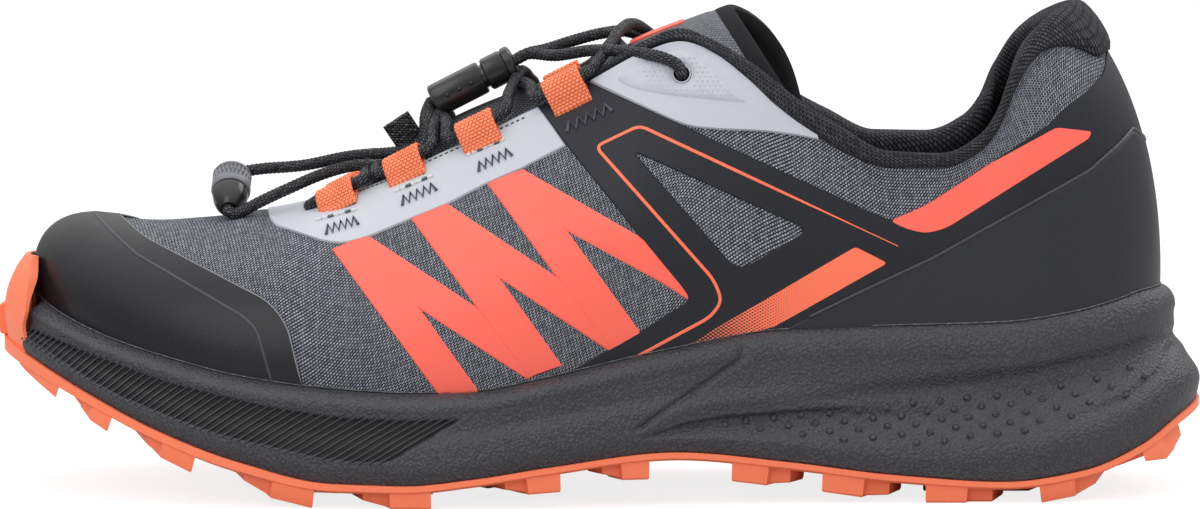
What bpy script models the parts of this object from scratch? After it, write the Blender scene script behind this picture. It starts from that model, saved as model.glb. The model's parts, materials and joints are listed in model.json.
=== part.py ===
"""Low-cut trail hiking shoe for the left foot, standing empty on its lugs.

Sizes are in millimetres and vertices are written in metres.
X runs from toe to heel, -Y is the lateral side, +Y the medial side, +Z is up.
A place on the shoe's loop is a number from -1 to 1: 0 is the toe tip, 1 and -1
are the heel, positive places are lateral and negative places are medial.
"""

import math

import bmesh
import bpy
from mathutils import Vector

MM = 0.001
UP = Vector((0.0, 0.0, 1.0))
# Brings the middle of the shoe's box to the origin
FRAME_SHIFT = Vector((-0.05, -0.333, 0.0))

# Overall sizes
LENGTH = 300.0
TOE_ROUND_SHARE = 0.24
HEEL_ROUND_SHARE = 0.16
GAP = 0.3
CUP_GAP = 0.4
STEP = 1e-3
WELD_DISTANCE = 1e-7
SHARP_ANGLE = 40.0
HEIGHT_TRIES = 30
HIGHEST_SEAM = 0.9

# Sole sections, station is the share of the length from toe to heel
SOLE_COLUMNS = ("station", "centre", "half_width", "ground", "seam", "floor", "rim")
SOLE_SECTIONS = (
    (0.000, 9.0, 50.0, 31.5, 35.0, 39.0, 49.0),
    (0.033, 8.0, 50.0, 27.2, 30.8, 34.8, 44.4),
    (0.083, 6.3, 50.2, 21.0, 23.2, 30.0, 39.2),
    (0.140, 5.0, 50.6, 14.4, 16.4, 26.0, 34.8),
    (0.207, 3.5, 51.6, 8.1, 10.1, 22.6, 30.8),
    (0.285, 1.3, 52.8, 3.7, 5.7, 20.4, 28.0),
    (0.340, -0.8, 52.8, 3.5, 5.5, 20.0, 27.2),
    (0.400, -3.2, 51.0, 5.3, 7.3, 20.3, 27.7),
    (0.460, -4.6, 47.5, 7.9, 9.9, 21.2, 30.8),
    (0.560, -4.8, 41.0, 10.9, 12.9, 24.6, 37.3),
    (0.650, -3.4, 38.3, 8.2, 10.2, 27.2, 41.7),
    (0.740, -1.6, 39.0, 4.8, 6.8, 28.9, 42.6),
    (0.827, -0.6, 40.0, 3.2, 5.2, 29.8, 43.3),
    (0.893, -0.2, 40.0, 5.7, 7.7, 30.6, 45.4),
    (0.943, 0.0, 40.0, 11.0, 13.2, 31.6, 48.0),
    (0.977, 0.0, 40.0, 17.0, 19.4, 32.4, 50.0),
    (1.000, 0.0, 40.0, 20.2, 22.8, 33.0, 50.5),
)

# Midsole side wall, set in from the sole's outline, for the forefoot and the heel
WALL_COLUMNS = ("height_share", "forefoot_inset", "heel_inset")
WALL_ROWS = (
    (0.00, 1.2, 0.8),
    (0.20, 0.2, 0.0),
    (0.42, 0.8, 2.4),
    (0.60, 2.4, 6.2),
    (0.74, 2.5, 6.6),
    (0.90, 2.2, 5.9),
    (1.00, 3.3, 7.0),
)
HEEL_FLARE_START = 0.50
HEEL_FLARE_END = 0.95
TOE_RECESS = 5.6
TOE_RECESS_START = 0.19
TOE_RECESS_END = 0.11

# Outsole base, toe bumper and lugs
OUTSOLE_EDGE_INSET = 0.4
OUTSOLE_EDGE_RISE = 0.6
OUTSOLE_BOTTOM_INSET = 1.6
# Bumper rows: share of its height, inset of its outer face
BUMPER_ROWS = (
    (0.00, 1.6),
    (0.35, 0.1),
    (0.60, 0.9),
    (0.85, 3.2),
    (1.00, 5.6),
)
BUMPER_REACH = 0.115
BUMPER_TOP = 57.5
BUMPER_SIDE_TOP = 41.0
BUMPER_BACK_INSET = 5.2
BUMPER_ROOT = 1.0
BUMPER_COUNT = 12
LUG_HEIGHT = 4.3
LUG_ROOT = 1.0
LUG_DRAFT = 0.7
# Edge lugs: front, back, depth inwards, slant of the inner end
EDGE_LUGS = (
    (-125.5, -118.5, 13.0, 4.0),
    (-108.0, -97.0, 16.0, 5.0),
    (-83.5, -67.5, 18.0, 5.0),
    (-55.5, -40.0, 19.0, 5.0),
    (-22.5, -9.5, 16.0, 5.0),
    (0.5, 12.0, 13.0, 4.0),
    (32.0, 46.5, 13.0, -4.0),
    (54.0, 70.0, 15.0, -4.0),
    (79.0, 95.0, 16.0, -4.0),
    (106.5, 120.5, 15.0, -4.0),
)
LUG_EDGE_INSET = 2.2
MEDIAL_LUG_SHIFT = -5.0
# Middle lugs: front, half of the span, thickness, how far the middle points
CHEVRONS = (
    (-134.0, 14.0, 7.0, -5.0),
    (-117.0, 17.0, 8.0, -6.0),
    (-96.0, 21.0, 9.0, -7.0),
    (-73.0, 23.0, 9.0, -8.0),
    (-50.0, 22.0, 9.0, -8.0),
    (-28.0, 18.0, 8.0, -7.0),
    (62.0, 13.0, 8.0, 6.0),
    (80.0, 14.0, 8.0, 6.0),
    (98.0, 15.0, 8.0, 6.0),
    (127.0, 17.0, 7.0, 4.0),
)

# Upper, the top line that each profile rises to
TOP_COLUMNS = ("place", "x", "axis", "spread", "z")
TOP_LINE = (
    (0.000, -126.0, 6.0, 0.0, 67.2),
    (0.100, -123.0, 6.0, 0.0, 66.9),
    (0.200, -109.0, 5.0, 0.0, 66.0),
    (0.270, -91.0, 4.0, 0.0, 67.6),
    (0.320, -76.0, 3.0, 0.0, 70.0),
    (0.350, -66.0, 2.5, 10.0, 72.4),
    (0.380, -56.0, 2.0, 15.0, 75.8),
    (0.415, -40.0, 1.5, 18.5, 83.6),
    (0.453, -22.0, 1.0, 20.5, 92.4),
    (0.495, -3.0, 0.5, 21.5, 102.0),
    (0.523, 11.0, 0.0, 22.0, 109.6),
    (0.545, 20.0, 0.0, 23.0, 112.2),
    (0.560, 28.0, 0.0, 24.5, 109.6),
    (0.580, 38.0, 0.0, 26.5, 104.6),
    (0.603, 48.0, 0.0, 28.0, 97.2),
    (0.630, 58.0, 0.0, 29.0, 91.0),
    (0.660, 70.0, 0.0, 30.0, 84.8),
    (0.695, 83.0, 0.0, 30.0, 84.2),
    (0.735, 92.5, 0.0, 29.5, 88.6),
    (0.765, 97.0, 0.0, 28.5, 95.0),
    (0.800, 100.5, 0.0, 26.5, 104.5),
    (0.850, 105.5, 0.0, 21.5, 113.0),
    (0.910, 112.0, 0.0, 13.5, 118.4),
    (0.960, 115.8, 0.0, 6.2, 120.1),
    (1.000, 117.0, 0.0, 0.0, 120.4),
)
THROAT_PLACE = 0.320
MEDIAL_RISE = 3.0
MEDIAL_RISE_FROM = 0.56
MEDIAL_RISE_TO = 0.82

# Upper, how each profile leaves the sole and meets its top line
SHAPE_COLUMNS = ("place", "base_inset", "low_out", "low_reach", "top_drop", "top_reach")
UPPER_SHAPE = (
    (0.00, 10.5, 16.0, 0.68, 0.0, 0.40),
    (0.10, 10.5, 15.0, 0.62, 0.0, 0.42),
    (0.20, 10.0, 13.0, 0.52, 0.0, 0.44),
    (0.32, 9.5, 11.0, 0.42, 4.0, 0.46),
    (0.38, 9.0, 10.0, 0.40, 25.0, 0.45),
    (0.45, 9.0, 9.0, 0.36, 45.0, 0.42),
    (0.54, 9.0, 9.0, 0.35, 62.0, 0.40),
    (0.62, 9.5, 10.0, 0.35, 74.0, 0.35),
    (0.70, 10.0, 11.0, 0.36, 82.0, 0.33),
    (0.80, 11.0, 10.0, 0.37, 72.0, 0.33),
    (0.90, 12.0, 8.0, 0.35, 55.0, 0.33),
    (1.00, 12.0, 8.0, 0.33, 45.0, 0.33),
)
UPPER_WALL = 2.2
VAMP_COUNT = 15
QUARTER_COUNT = 22
UPPER_ROWS = 10

# Shells standing proud of the upper
SHELL_CLEARANCE = 0.8
SHELL_PROUD = 1.6
TOE_CAP_COLUMNS = ("place", "high")
TOE_CAP_EDGE = (
    (0.000, 1.00),
    (0.146, 1.00),
    (0.175, 0.86),
    (0.220, 0.70),
    (0.275, 0.58),
    (0.296, 0.50),
    (0.320, 0.32),
)
COUNTER_COLUMNS = ("place", "high")
COUNTER_EDGE = (
    (0.700, 0.33),
    (0.760, 0.40),
    (0.840, 0.52),
    (0.900, 0.60),
    (0.950, 0.66),
    (1.000, 0.70),
)
COUNTER_START = 0.700
SHELL_RIM_CLEARANCE = 1.0
SHELL_ROWS = 6
SHELL_HALF_COUNT = 10

# Insole and tongue
INSOLE_THICK = 5.0
INSOLE_CLEARANCE = 0.8
LOOP_COUNT = 32
TONGUE_COLUMNS = ("x", "crest", "half_width", "drop")
TONGUE_SECTIONS = (
    (-86.0, 64.2, 15.0, 9.0),
    (-75.0, 66.4, 17.0, 12.0),
    (-66.0, 70.6, 18.5, 17.0),
    (-56.0, 77.8, 21.0, 24.0),
    (-40.0, 88.8, 23.0, 28.0),
    (-22.0, 97.0, 23.0, 30.0),
    (-8.0, 102.3, 22.5, 30.0),
    (2.0, 109.0, 22.0, 33.0),
    (9.0, 114.6, 22.0, 35.0),
    (20.0, 117.2, 23.0, 34.0),
    (33.4, 120.6, 24.0, 32.0),
)
TONGUE_SWEEP = 0.5
TONGUE_THICK = 3.5
TONGUE_ARCS = 10
TONGUE_STATIONS = 15

# Webbing loops, place on the top line and size
LOOP_PLACES = (0.353, 0.400, 0.4375, 0.484)
LOOP_WIDTH = 11.0
LOOP_SPAN = 11.5
LOOP_RISE = 5.2
LOOP_STRAP = 1.0
LOOP_BEYOND_EDGE = 4.5
LOOP_LIFT = 1.3
LOOP_SEAT_HIGH = 0.97
LOOP_ARCS = 5

# Lace, cord lock, end bead and keeper tab
LACE_DIAMETER = 2.8
LACE_SIDES = 8
CROSS_ROWS = (0, 1, 2)
CROSS_CLEARANCE = 0.5
CROSS_STEPS = 8
LOOP_END_GAP = 5.1
LACE_POINTS = 18
ROUTE_STEPS = 12
# Route of a lace end from its eyelet to the lock, on the medial side
END_ROUTE = (
    (14.5, 27.5, 108.6),
    (8.0, 23.0, 112.6),
    (-1.0, 14.0, 112.0),
    (-11.0, 6.5, 109.2),
)
END_STRAIGHT = 4.0
# Routes of the two tails from the lock to the bead
TAIL_ROUTE_MEDIAL = (
    (-48.0, 7.5, 91.0),
    (-54.0, 6.5, 86.2),
    (-63.0, 5.3, 83.6),
    (-74.0, 6.0, 81.6),
    (-84.0, 8.0, 80.8),
)
TAIL_ROUTE_LATERAL = (
    (-47.5, -4.5, 90.5),
    (-54.0, -2.0, 86.0),
    (-62.0, 0.6, 82.4),
    (-69.0, 0.4, 79.9),
    (-77.0, -2.5, 76.6),
    (-85.0, -6.5, 73.0),
)
BEAD_TURN = 2.6
EYELET_PLACE = 0.545
EYELET_HIGH = 0.93
LOCK_CENTRE = (-32.0, 0.0, 101.2)
LOCK_TILT = 27.0
# Cord lock rings: place along its axis, half of its width, half of its height
LOCK_RINGS = (
    (-10.5, 5.0, 3.0),
    (-9.7, 5.8, 3.8),
    (2.6, 5.8, 3.8),
    (3.2, 5.2, 3.2),
    (4.0, 5.2, 3.2),
    (4.4, 5.5, 3.5),
    (8.6, 5.3, 3.3),
    (9.2, 4.4, 2.6),
    (10.5, 4.0, 2.4),
)
LOCK_SIDES = 14
LOCK_LACE_SPREAD = 2.4
BEAD_CENTRE = (-92.2, 1.0, 75.0)
BEAD_TILT = 34.0
# Bead rings: place along its axis, radius
SLEEVE_RINGS = (
    (-6.6, 4.3),
    (-6.0, 4.9),
    (0.4, 4.9),
    (0.8, 4.6),
)
CONE_RINGS = (
    (1.1, 4.4),
    (4.5, 4.0),
    (7.2, 2.7),
    (7.8, 2.2),
)
BEAD_SIDES = 16
BEAD_END_GAP = 1.0
KEEPER_CENTRE = (-49.6, 1.5, 90.0)
KEEPER_SIZE = (6.6, 7.6, 2.0)
KEEPER_TILT = 30.0
KEEPER_LEAN = 62.0

# Surface colours and roughness
COLOURS = {
    "rubber_orange": ((0.95, 0.16, 0.06), 0.55),
    "foam_black": ((0.045, 0.045, 0.05), 0.6),
    "cloth_grey": ((0.10, 0.10, 0.12), 0.8),
    "cloth_black": ((0.03, 0.03, 0.034), 0.85),
    "film_black": ((0.04, 0.04, 0.045), 0.5),
    "webbing_orange": ((0.95, 0.22, 0.08), 0.75),
    "plastic_black": ((0.02, 0.02, 0.022), 0.35),
    "plastic_grey": ((0.35, 0.35, 0.37), 0.45),
}


def read_table(rows, columns, name, at, level_ends=False):
    """One column of a table, smoothly between its rows and never past them."""
    pick = columns.index(name)
    keys = [row[0] for row in rows]
    values = [row[pick] for row in rows]
    if at <= keys[0]:
        return values[0]
    if at >= keys[-1]:
        return values[-1]
    i = max(j for j in range(len(keys) - 1) if keys[j] <= at)
    if values[i] == values[i + 1]:
        return values[i]
    widths = [b - a for a, b in zip(keys, keys[1:])]
    rises = [(b - a) / w for a, b, w in zip(values, values[1:], widths)]

    def slope(j):
        if j in (0, len(keys) - 1):
            return 0.0 if level_ends else rises[min(j, len(rises) - 1)]
        before, after = rises[j - 1], rises[j]
        if before * after <= 0.0:
            return 0.0
        return 2.0 * before * after / (before + after)

    w = widths[i]
    t = (at - keys[i]) / w
    return (
        values[i] * (2 * t**3 - 3 * t**2 + 1)
        + slope(i) * w * (t**3 - 2 * t**2 + t)
        + values[i + 1] * (3 * t**2 - 2 * t**3)
        + slope(i + 1) * w * (t**3 - t**2)
    )


def sole_value(name, station):
    return read_table(SOLE_SECTIONS, SOLE_COLUMNS, name, station)


def smooth_step(start, end, at):
    t = min(1.0, max(0.0, (at - start) / (end - start)))
    return t * t * (3.0 - 2.0 * t)


def station_of(place):
    return (1.0 - math.cos(math.pi * place)) / 2.0


def station_at(x):
    return x / LENGTH + 0.5


def wrap(place):
    return (place + 1.0) % 2.0 - 1.0


def side_of(place):
    return -1.0 if wrap(place) >= 0.0 else 1.0


def outline_edge(place):
    """The sole's widest outline, seen from above."""
    station = station_of(wrap(place))
    cap = 1.0
    if station < TOE_ROUND_SHARE:
        cap = math.sqrt(1.0 - (1.0 - station / TOE_ROUND_SHARE) ** 2)
    if station > 1.0 - HEEL_ROUND_SHARE:
        cap = math.sqrt(1.0 - ((station - 1.0 + HEEL_ROUND_SHARE) / HEEL_ROUND_SHARE) ** 2)
    width = sole_value("half_width", station) * cap
    centre = sole_value("centre", station)
    return Vector((LENGTH * (station - 0.5), centre + side_of(place) * width, 0.0))


def outline_out(place):
    """Unit vector straight out of the outline."""
    along = outline_edge(place + STEP) - outline_edge(place - STEP)
    return Vector((along.y, -along.x, 0.0)).normalized()


def outline(place, inset, z):
    point = outline_edge(place) - inset * outline_out(place)
    return Vector((point.x, point.y, z))


def level(name, place):
    return sole_value(name, station_of(wrap(place)))


def loop_places(count):
    """Places round the whole loop: toe, lateral side, heel, medial side."""
    lateral = [j / count for j in range(count + 1)]
    medial = [-place for place in lateral[-2:0:-1]]
    return lateral + medial


def upper_controls(place):
    """Control points of the profile that rises from the sole to the top line."""
    place = wrap(place)
    u = abs(place)
    side = side_of(place)
    shape = {name: read_table(UPPER_SHAPE, SHAPE_COLUMNS, name, u, True) for name in SHAPE_COLUMNS[1:]}
    line = {name: read_table(TOP_LINE, TOP_COLUMNS, name, u, name != "spread") for name in TOP_COLUMNS[1:]}
    rise = 0.0
    if side > 0.0 and MEDIAL_RISE_FROM < u < MEDIAL_RISE_TO:
        share = (u - MEDIAL_RISE_FROM) / (MEDIAL_RISE_TO - MEDIAL_RISE_FROM)
        rise = MEDIAL_RISE * math.sin(math.pi * share) ** 2
    out = outline_out(place)
    base = outline(place, shape["base_inset"], level("floor", place) + GAP)
    top = Vector((line["x"], line["axis"] + side * line["spread"], line["z"] + rise))
    span = (top - base).length
    low_out = math.radians(shape["low_out"])
    drop = math.radians(shape["top_drop"])
    low = base + span * shape["low_reach"] * (math.sin(low_out) * out + math.cos(low_out) * UP)
    high = top + span * shape["top_reach"] * (math.cos(drop) * out - math.sin(drop) * UP)
    return base, low, high, top


def upper_surface(place, v):
    base, low, high, top = upper_controls(place)
    w = 1.0 - v
    return w**3 * base + 3 * w * w * v * low + 3 * w * v * v * high + v**3 * top


def on_ridge(place, v):
    return abs(wrap(place)) <= THROAT_PLACE + STEP and v > 1.0 - STEP


def upper_out(place, v):
    """Unit vector straight out of the upper."""
    if on_ridge(place, v):
        return UP.copy()
    along = upper_surface(place + STEP, v) - upper_surface(place - STEP, v)
    rising = upper_surface(place, min(1.0, v + STEP)) - upper_surface(place, max(0.0, v - STEP))
    return along.cross(rising).normalized()


def upper_point(place, v, offset):
    return upper_surface(place, v) + offset * upper_out(place, v)


def upper_height(place, z):
    """How far up the profile a height lies."""
    low, high = 0.0, HIGHEST_SEAM
    for _ in range(HEIGHT_TRIES):
        middle = (low + high) / 2.0
        if upper_surface(place, middle).z < z:
            low = middle
        else:
            high = middle
    return low


def material(name):
    found = bpy.data.materials.get(name)
    if found:
        return found
    colour, rough = COLOURS[name]
    made = bpy.data.materials.new(name)
    made.use_nodes = True
    shader = made.node_tree.nodes["Principled BSDF"]
    shader.inputs["Base Color"].default_value = (*colour, 1.0)
    shader.inputs["Roughness"].default_value = rough
    return made


def add_mesh(name, points, faces, look):
    """One object from points in millimetres, with its faces turned outwards."""
    mesh = bpy.data.meshes.new(name)
    build = bmesh.new()
    corners = [build.verts.new((point + FRAME_SHIFT) * MM) for point in points]
    for face in faces:
        build.faces.new([corners[i] for i in face])
    bmesh.ops.remove_doubles(build, verts=build.verts, dist=WELD_DISTANCE)
    bmesh.ops.recalc_face_normals(build, faces=build.faces)
    build.to_mesh(mesh)
    build.free()
    mesh.shade_smooth()
    mesh.set_sharp_from_angle(angle=math.radians(SHARP_ANGLE))
    mesh.materials.append(material(look))
    thing = bpy.data.objects.new(name, mesh)
    bpy.context.scene.collection.objects.link(thing)
    return thing


def join(thing, helper):
    """Joins a helper to an object, and hides the helper."""
    union = thing.modifiers.new("join_" + helper.name, "BOOLEAN")
    union.operation = "UNION"
    union.solver = "EXACT"
    union.object = helper
    helper.hide_render = True
    helper.display_type = "WIRE"


def ladder(count, start):
    """Faces across a loop, from each lateral place to its medial one."""
    total = 2 * count
    faces = [(start, start + 1, start + total - 1)]
    for j in range(1, count - 1):
        faces.append((start + j, start + j + 1, start + total - j - 1, start + total - j))
    faces.append((start + count - 1, start + count, start + count + 1))
    return faces


def ring_solid(name, rings, count, look):
    """A solid from loops stacked on each other, its first and last loop closed across."""
    total = 2 * count
    points = [point for ring in rings for point in ring]
    faces = ladder(count, 0) + ladder(count, total * (len(rings) - 1))
    for k in range(len(rings) - 1):
        for j in range(total):
            following = (j + 1) % total
            low, high = k * total, (k + 1) * total
            faces.append((low + j, low + following, high + following, high + j))
    return add_mesh(name, points, faces, look)


def strip_solid(name, places, limits, offsets, rows, closed, look):
    """A wall of even thickness along the upper between two heights of its profile."""
    inner, outer = offsets
    count = len(places)
    points = []
    for offset in (outer, inner):
        for place in places:
            low, high = limits(place)
            for k in range(rows + 1):
                points.append(upper_point(place, low + (high - low) * k / rows, offset))
    row = rows + 1
    skin = count * row
    faces = []
    for j in range(count if closed else count - 1):
        following = (j + 1) % count
        a, b = j * row, following * row
        for k in range(rows):
            faces.append((a + k, b + k, b + k + 1, a + k + 1))
            faces.append((skin + a + k, skin + b + k, skin + b + k + 1, skin + a + k + 1))
        faces.append((a, b, skin + b, skin + a))
        tops = (limits(places[j])[1], limits(places[following])[1])
        if not (on_ridge(places[j], tops[0]) and on_ridge(places[following], tops[1])):
            faces.append((a + rows, b + rows, skin + b + rows, skin + a + rows))
    if not closed:
        for end in (0, (count - 1) * row):
            for k in range(rows):
                faces.append((end + k, end + k + 1, skin + end + k + 1, skin + end + k))
    return add_mesh(name, points, faces, look)


def prism_of_rings(name, rings, look):
    """A closed solid through loops of equal length, capped at both ends."""
    sides = len(rings[0])
    points = [point for ring in rings for point in ring]
    last = sides * (len(rings) - 1)
    faces = [tuple(range(sides)), tuple(range(last, last + sides))]
    for k in range(len(rings) - 1):
        for j in range(sides):
            following = (j + 1) % sides
            a, b = k * sides, (k + 1) * sides
            faces.append((a + j, a + following, b + following, b + j))
    return add_mesh(name, points, faces, look)


def midsole_inset(place, share):
    forefoot = read_table(WALL_ROWS, WALL_COLUMNS, "forefoot_inset", share)
    heel = read_table(WALL_ROWS, WALL_COLUMNS, "heel_inset", share)
    station = station_of(place)
    flare = smooth_step(HEEL_FLARE_START, HEEL_FLARE_END, station)
    recess = TOE_RECESS * smooth_step(TOE_RECESS_START, TOE_RECESS_END, abs(place))
    return forefoot + (heel - forefoot) * flare + recess


def make_midsole():
    places = loop_places(LOOP_COUNT)
    rings = []
    for share, _, _ in WALL_ROWS:
        ring = []
        for place in places:
            seam, rim = level("seam", place), level("rim", place)
            ring.append(outline(place, midsole_inset(place, share), seam + (rim - seam) * share))
        rings.append(ring)
    rim_ring, cup_ring, floor_ring = [], [], []
    for place in places:
        rim, floor = level("rim", place), level("floor", place)
        out = outline_out(place) * CUP_GAP
        for ring, z in ((rim_ring, rim), (cup_ring, (rim + floor) / 2.0)):
            point = upper_surface(place, upper_height(place, z)) + out
            ring.append(Vector((point.x, point.y, z)))
        base = upper_surface(place, 0.0) + out
        floor_ring.append(Vector((base.x, base.y, floor)))
    return ring_solid("midsole", rings + [rim_ring, cup_ring, floor_ring], LOOP_COUNT, "foam_black")


def make_insole():
    places = loop_places(LOOP_COUNT)
    rings = []
    for lift in (2 * GAP, INSOLE_THICK):
        ring = []
        for place in places:
            base = read_table(UPPER_SHAPE, SHAPE_COLUMNS, "base_inset", abs(place))
            inset = base + UPPER_WALL + INSOLE_CLEARANCE
            ring.append(outline(place, inset, level("floor", place) + lift))
        rings.append(ring)
    return ring_solid("insole", rings, LOOP_COUNT, "cloth_black")


def make_bumper():
    """Rubber flap rising in front of the toe, open behind for midsole and toe cap."""
    places = [BUMPER_REACH * (2 * j / BUMPER_COUNT - 1) for j in range(BUMPER_COUNT + 1)]
    outer, inner = [], []
    for place in places:
        fall = smooth_step(0.0, BUMPER_REACH, abs(place))
        top = BUMPER_TOP + (BUMPER_SIDE_TOP - BUMPER_TOP) * fall
        low = level("ground", place) + BUMPER_ROOT
        for share, inset in BUMPER_ROWS:
            z = low + (top - low) * share
            outer.append(outline(place, inset, z))
            back = outline(place, BUMPER_BACK_INSET, z)
            if z > level("rim", place):
                clear = SHELL_PROUD + 2 * GAP
                wall = upper_point(place, upper_height(place, z), clear)
                blend = smooth_step(0.0, BUMPER_TOP - level("rim", place), z - level("rim", place))
                back = back.lerp(Vector((wall.x, wall.y, z)), blend)
            inner.append(back)
    row = len(BUMPER_ROWS)
    skin = len(outer)
    faces = []
    for j in range(len(places) - 1):
        a, b = j * row, (j + 1) * row
        for k in range(row - 1):
            faces.append((a + k, b + k, b + k + 1, a + k + 1))
            faces.append((skin + a + k, skin + b + k, skin + b + k + 1, skin + a + k + 1))
        faces.append((a, b, skin + b, skin + a))
        faces.append((a + row - 1, b + row - 1, skin + b + row - 1, skin + a + row - 1))
    for end in (0, skin - row):
        for k in range(row - 1):
            faces.append((end + k, end + k + 1, skin + end + k + 1, skin + end + k))
    return add_mesh("bumper_helper", outer + inner, faces, "rubber_orange")


def lug_block(plan):
    """Top and bottom corners of one lug from its outline seen from above."""
    middle = sum(plan, Vector((0.0, 0.0, 0.0))) / len(plan)
    top, bottom = [], []
    for corner in plan:
        ground = sole_value("ground", station_at(corner.x))
        top.append(Vector((corner.x, corner.y, ground + LUG_ROOT)))
        inward = (middle - corner).normalized() * LUG_DRAFT
        foot = max(0.0, ground - LUG_HEIGHT)
        bottom.append(Vector((corner.x + inward.x, corner.y + inward.y, foot)))
    return top, bottom


def edge_y(x, side, inset):
    """Where the sole's outline crosses a section, set in by some distance."""
    station = station_at(x)
    place = -side * math.acos(1.0 - 2.0 * station) / math.pi
    return outline_edge(place).y - side * inset


def lug_plans():
    plans = []
    for front, back, depth, slant in EDGE_LUGS:
        for side in (-1.0, 1.0):
            shift = MEDIAL_LUG_SHIFT if side > 0.0 else 0.0
            a, b = front + shift, back + shift
            inner_a = edge_y(a, side, LUG_EDGE_INSET + depth)
            inner_b = edge_y(b, side, LUG_EDGE_INSET + depth)
            plans.append([
                Vector((a, edge_y(a, side, LUG_EDGE_INSET), 0.0)),
                Vector((b, edge_y(b, side, LUG_EDGE_INSET), 0.0)),
                Vector((b - slant, inner_b, 0.0)),
                Vector((a - slant, inner_a, 0.0)),
            ])
    for front, half_span, thick, point in CHEVRONS:
        centre = sole_value("centre", station_at(front))
        plans.append([
            Vector((front, centre - half_span, 0.0)),
            Vector((front + point, centre, 0.0)),
            Vector((front, centre + half_span, 0.0)),
            Vector((front + thick, centre + half_span, 0.0)),
            Vector((front + thick + point, centre, 0.0)),
            Vector((front + thick, centre - half_span, 0.0)),
        ])
    return plans


def make_lugs():
    points, faces = [], []
    for plan in lug_plans():
        top, bottom = lug_block(plan)
        start, sides = len(points), len(plan)
        points += top + bottom
        faces.append(tuple(range(start, start + sides)))
        faces.append(tuple(range(start + sides, start + 2 * sides)))
        for j in range(sides):
            following = (j + 1) % sides
            faces.append((start + j, start + following, start + sides + following, start + sides + j))
    return add_mesh("lugs_helper", points, faces, "rubber_orange")


def make_outsole():
    places = loop_places(LOOP_COUNT)
    rings = []
    for name, lift, inset in (
        ("ground", 0.0, OUTSOLE_BOTTOM_INSET),
        ("ground", OUTSOLE_EDGE_RISE, OUTSOLE_EDGE_INSET),
        ("seam", -GAP, OUTSOLE_EDGE_INSET),
    ):
        rings.append([outline(place, inset, level(name, place) + lift) for place in places])
    base = ring_solid("outsole", rings, LOOP_COUNT, "rubber_orange")
    join(base, make_bumper())
    join(base, make_lugs())
    return base


def vamp_places():
    return [THROAT_PLACE * j / VAMP_COUNT for j in range(VAMP_COUNT + 1)]


def make_upper():
    vamp = vamp_places()
    quarter = [
        THROAT_PLACE + (1.0 - THROAT_PLACE) * j / QUARTER_COUNT for j in range(1, QUARTER_COUNT + 1)
    ]
    lateral = vamp + quarter
    places = lateral + [-place for place in lateral[-2:0:-1]]
    offsets = (-UPPER_WALL, 0.0)
    return strip_solid("upper", places, lambda place: (0.0, 1.0), offsets, UPPER_ROWS, True, "cloth_grey")


def shell_low(place):
    return upper_height(place, level("rim", place) + SHELL_RIM_CLEARANCE)


def make_toe_cap():
    half = vamp_places()
    places = [-place for place in half[:0:-1]] + half

    def limits(place):
        return shell_low(place), read_table(TOE_CAP_EDGE, TOE_CAP_COLUMNS, "high", abs(place))

    offsets = (SHELL_CLEARANCE, SHELL_PROUD)
    return strip_solid("toe_cap", places, limits, offsets, SHELL_ROWS, False, "film_black")


def make_counter():
    step = (1.0 - COUNTER_START) / SHELL_HALF_COUNT
    places = [COUNTER_START + step * j for j in range(2 * SHELL_HALF_COUNT + 1)]

    def limits(place):
        return shell_low(place), read_table(COUNTER_EDGE, COUNTER_COLUMNS, "high", abs(wrap(place)))

    offsets = (SHELL_CLEARANCE, SHELL_PROUD)
    return strip_solid("heel_counter", places, limits, offsets, SHELL_ROWS, False, "film_black")


def tongue_value(name, x):
    return read_table(TONGUE_SECTIONS, TONGUE_COLUMNS, name, x)


def tongue_surface(x, turn, inward):
    """A point of the tongue: turn runs from -90 degrees lateral to 90 medial."""
    width = tongue_value("half_width", x) - inward
    drop = tongue_value("drop", x)
    sink = (drop - inward) * (1.0 - math.cos(turn))
    axis = read_table([(row[1], row[2]) for row in TOP_LINE[4:]], ("x", "axis"), "axis", x)
    z = tongue_value("crest", x) - inward - sink
    return Vector((x + TONGUE_SWEEP * sink, axis + width * math.sin(turn), z))


def make_tongue():
    first, last = TONGUE_SECTIONS[0][0], TONGUE_SECTIONS[-1][0]
    rings = []
    for j in range(TONGUE_STATIONS):
        x = first + (last - first) * j / (TONGUE_STATIONS - 1)
        turns = [math.pi * (k / TONGUE_ARCS - 0.5) for k in range(TONGUE_ARCS + 1)]
        outside = [tongue_surface(x, turn, 0.0) for turn in turns]
        inside = [tongue_surface(x, turn, TONGUE_THICK) for turn in turns[::-1]]
        rings.append(outside + inside)
    return prism_of_rings("tongue", rings, "cloth_grey")


def loop_frame(place):
    """Middle of a webbing loop and its directions: along the throat, inwards and out."""
    edge = upper_surface(place, 1.0)
    along = upper_surface(place + STEP, 1.0) - upper_surface(place - STEP, 1.0)
    along.normalize()
    if along.x < 0.0:
        along.negate()
    out = upper_out(place, LOOP_SEAT_HIGH)
    out = (out - out.dot(along) * along).normalized()
    inward = out.cross(along)
    if inward.y * side_of(place) > 0.0:
        inward.negate()
    rise = LOOP_LIFT + LOOP_RISE / 2.0
    middle = edge + (LOOP_BEYOND_EDGE - LOOP_SPAN / 2.0) * inward + rise * out
    return middle, along, inward, out


def stadium(half_span, half_rise):
    """A flat oval, as offsets across and out."""
    oval = []
    straight = half_span - half_rise
    for end in (1.0, -1.0):
        for k in range(LOOP_ARCS + 1):
            turn = end * math.pi * (k / LOOP_ARCS - 0.5)
            oval.append((end * straight + end * half_rise * math.cos(turn), half_rise * math.sin(turn)))
    return oval


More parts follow.
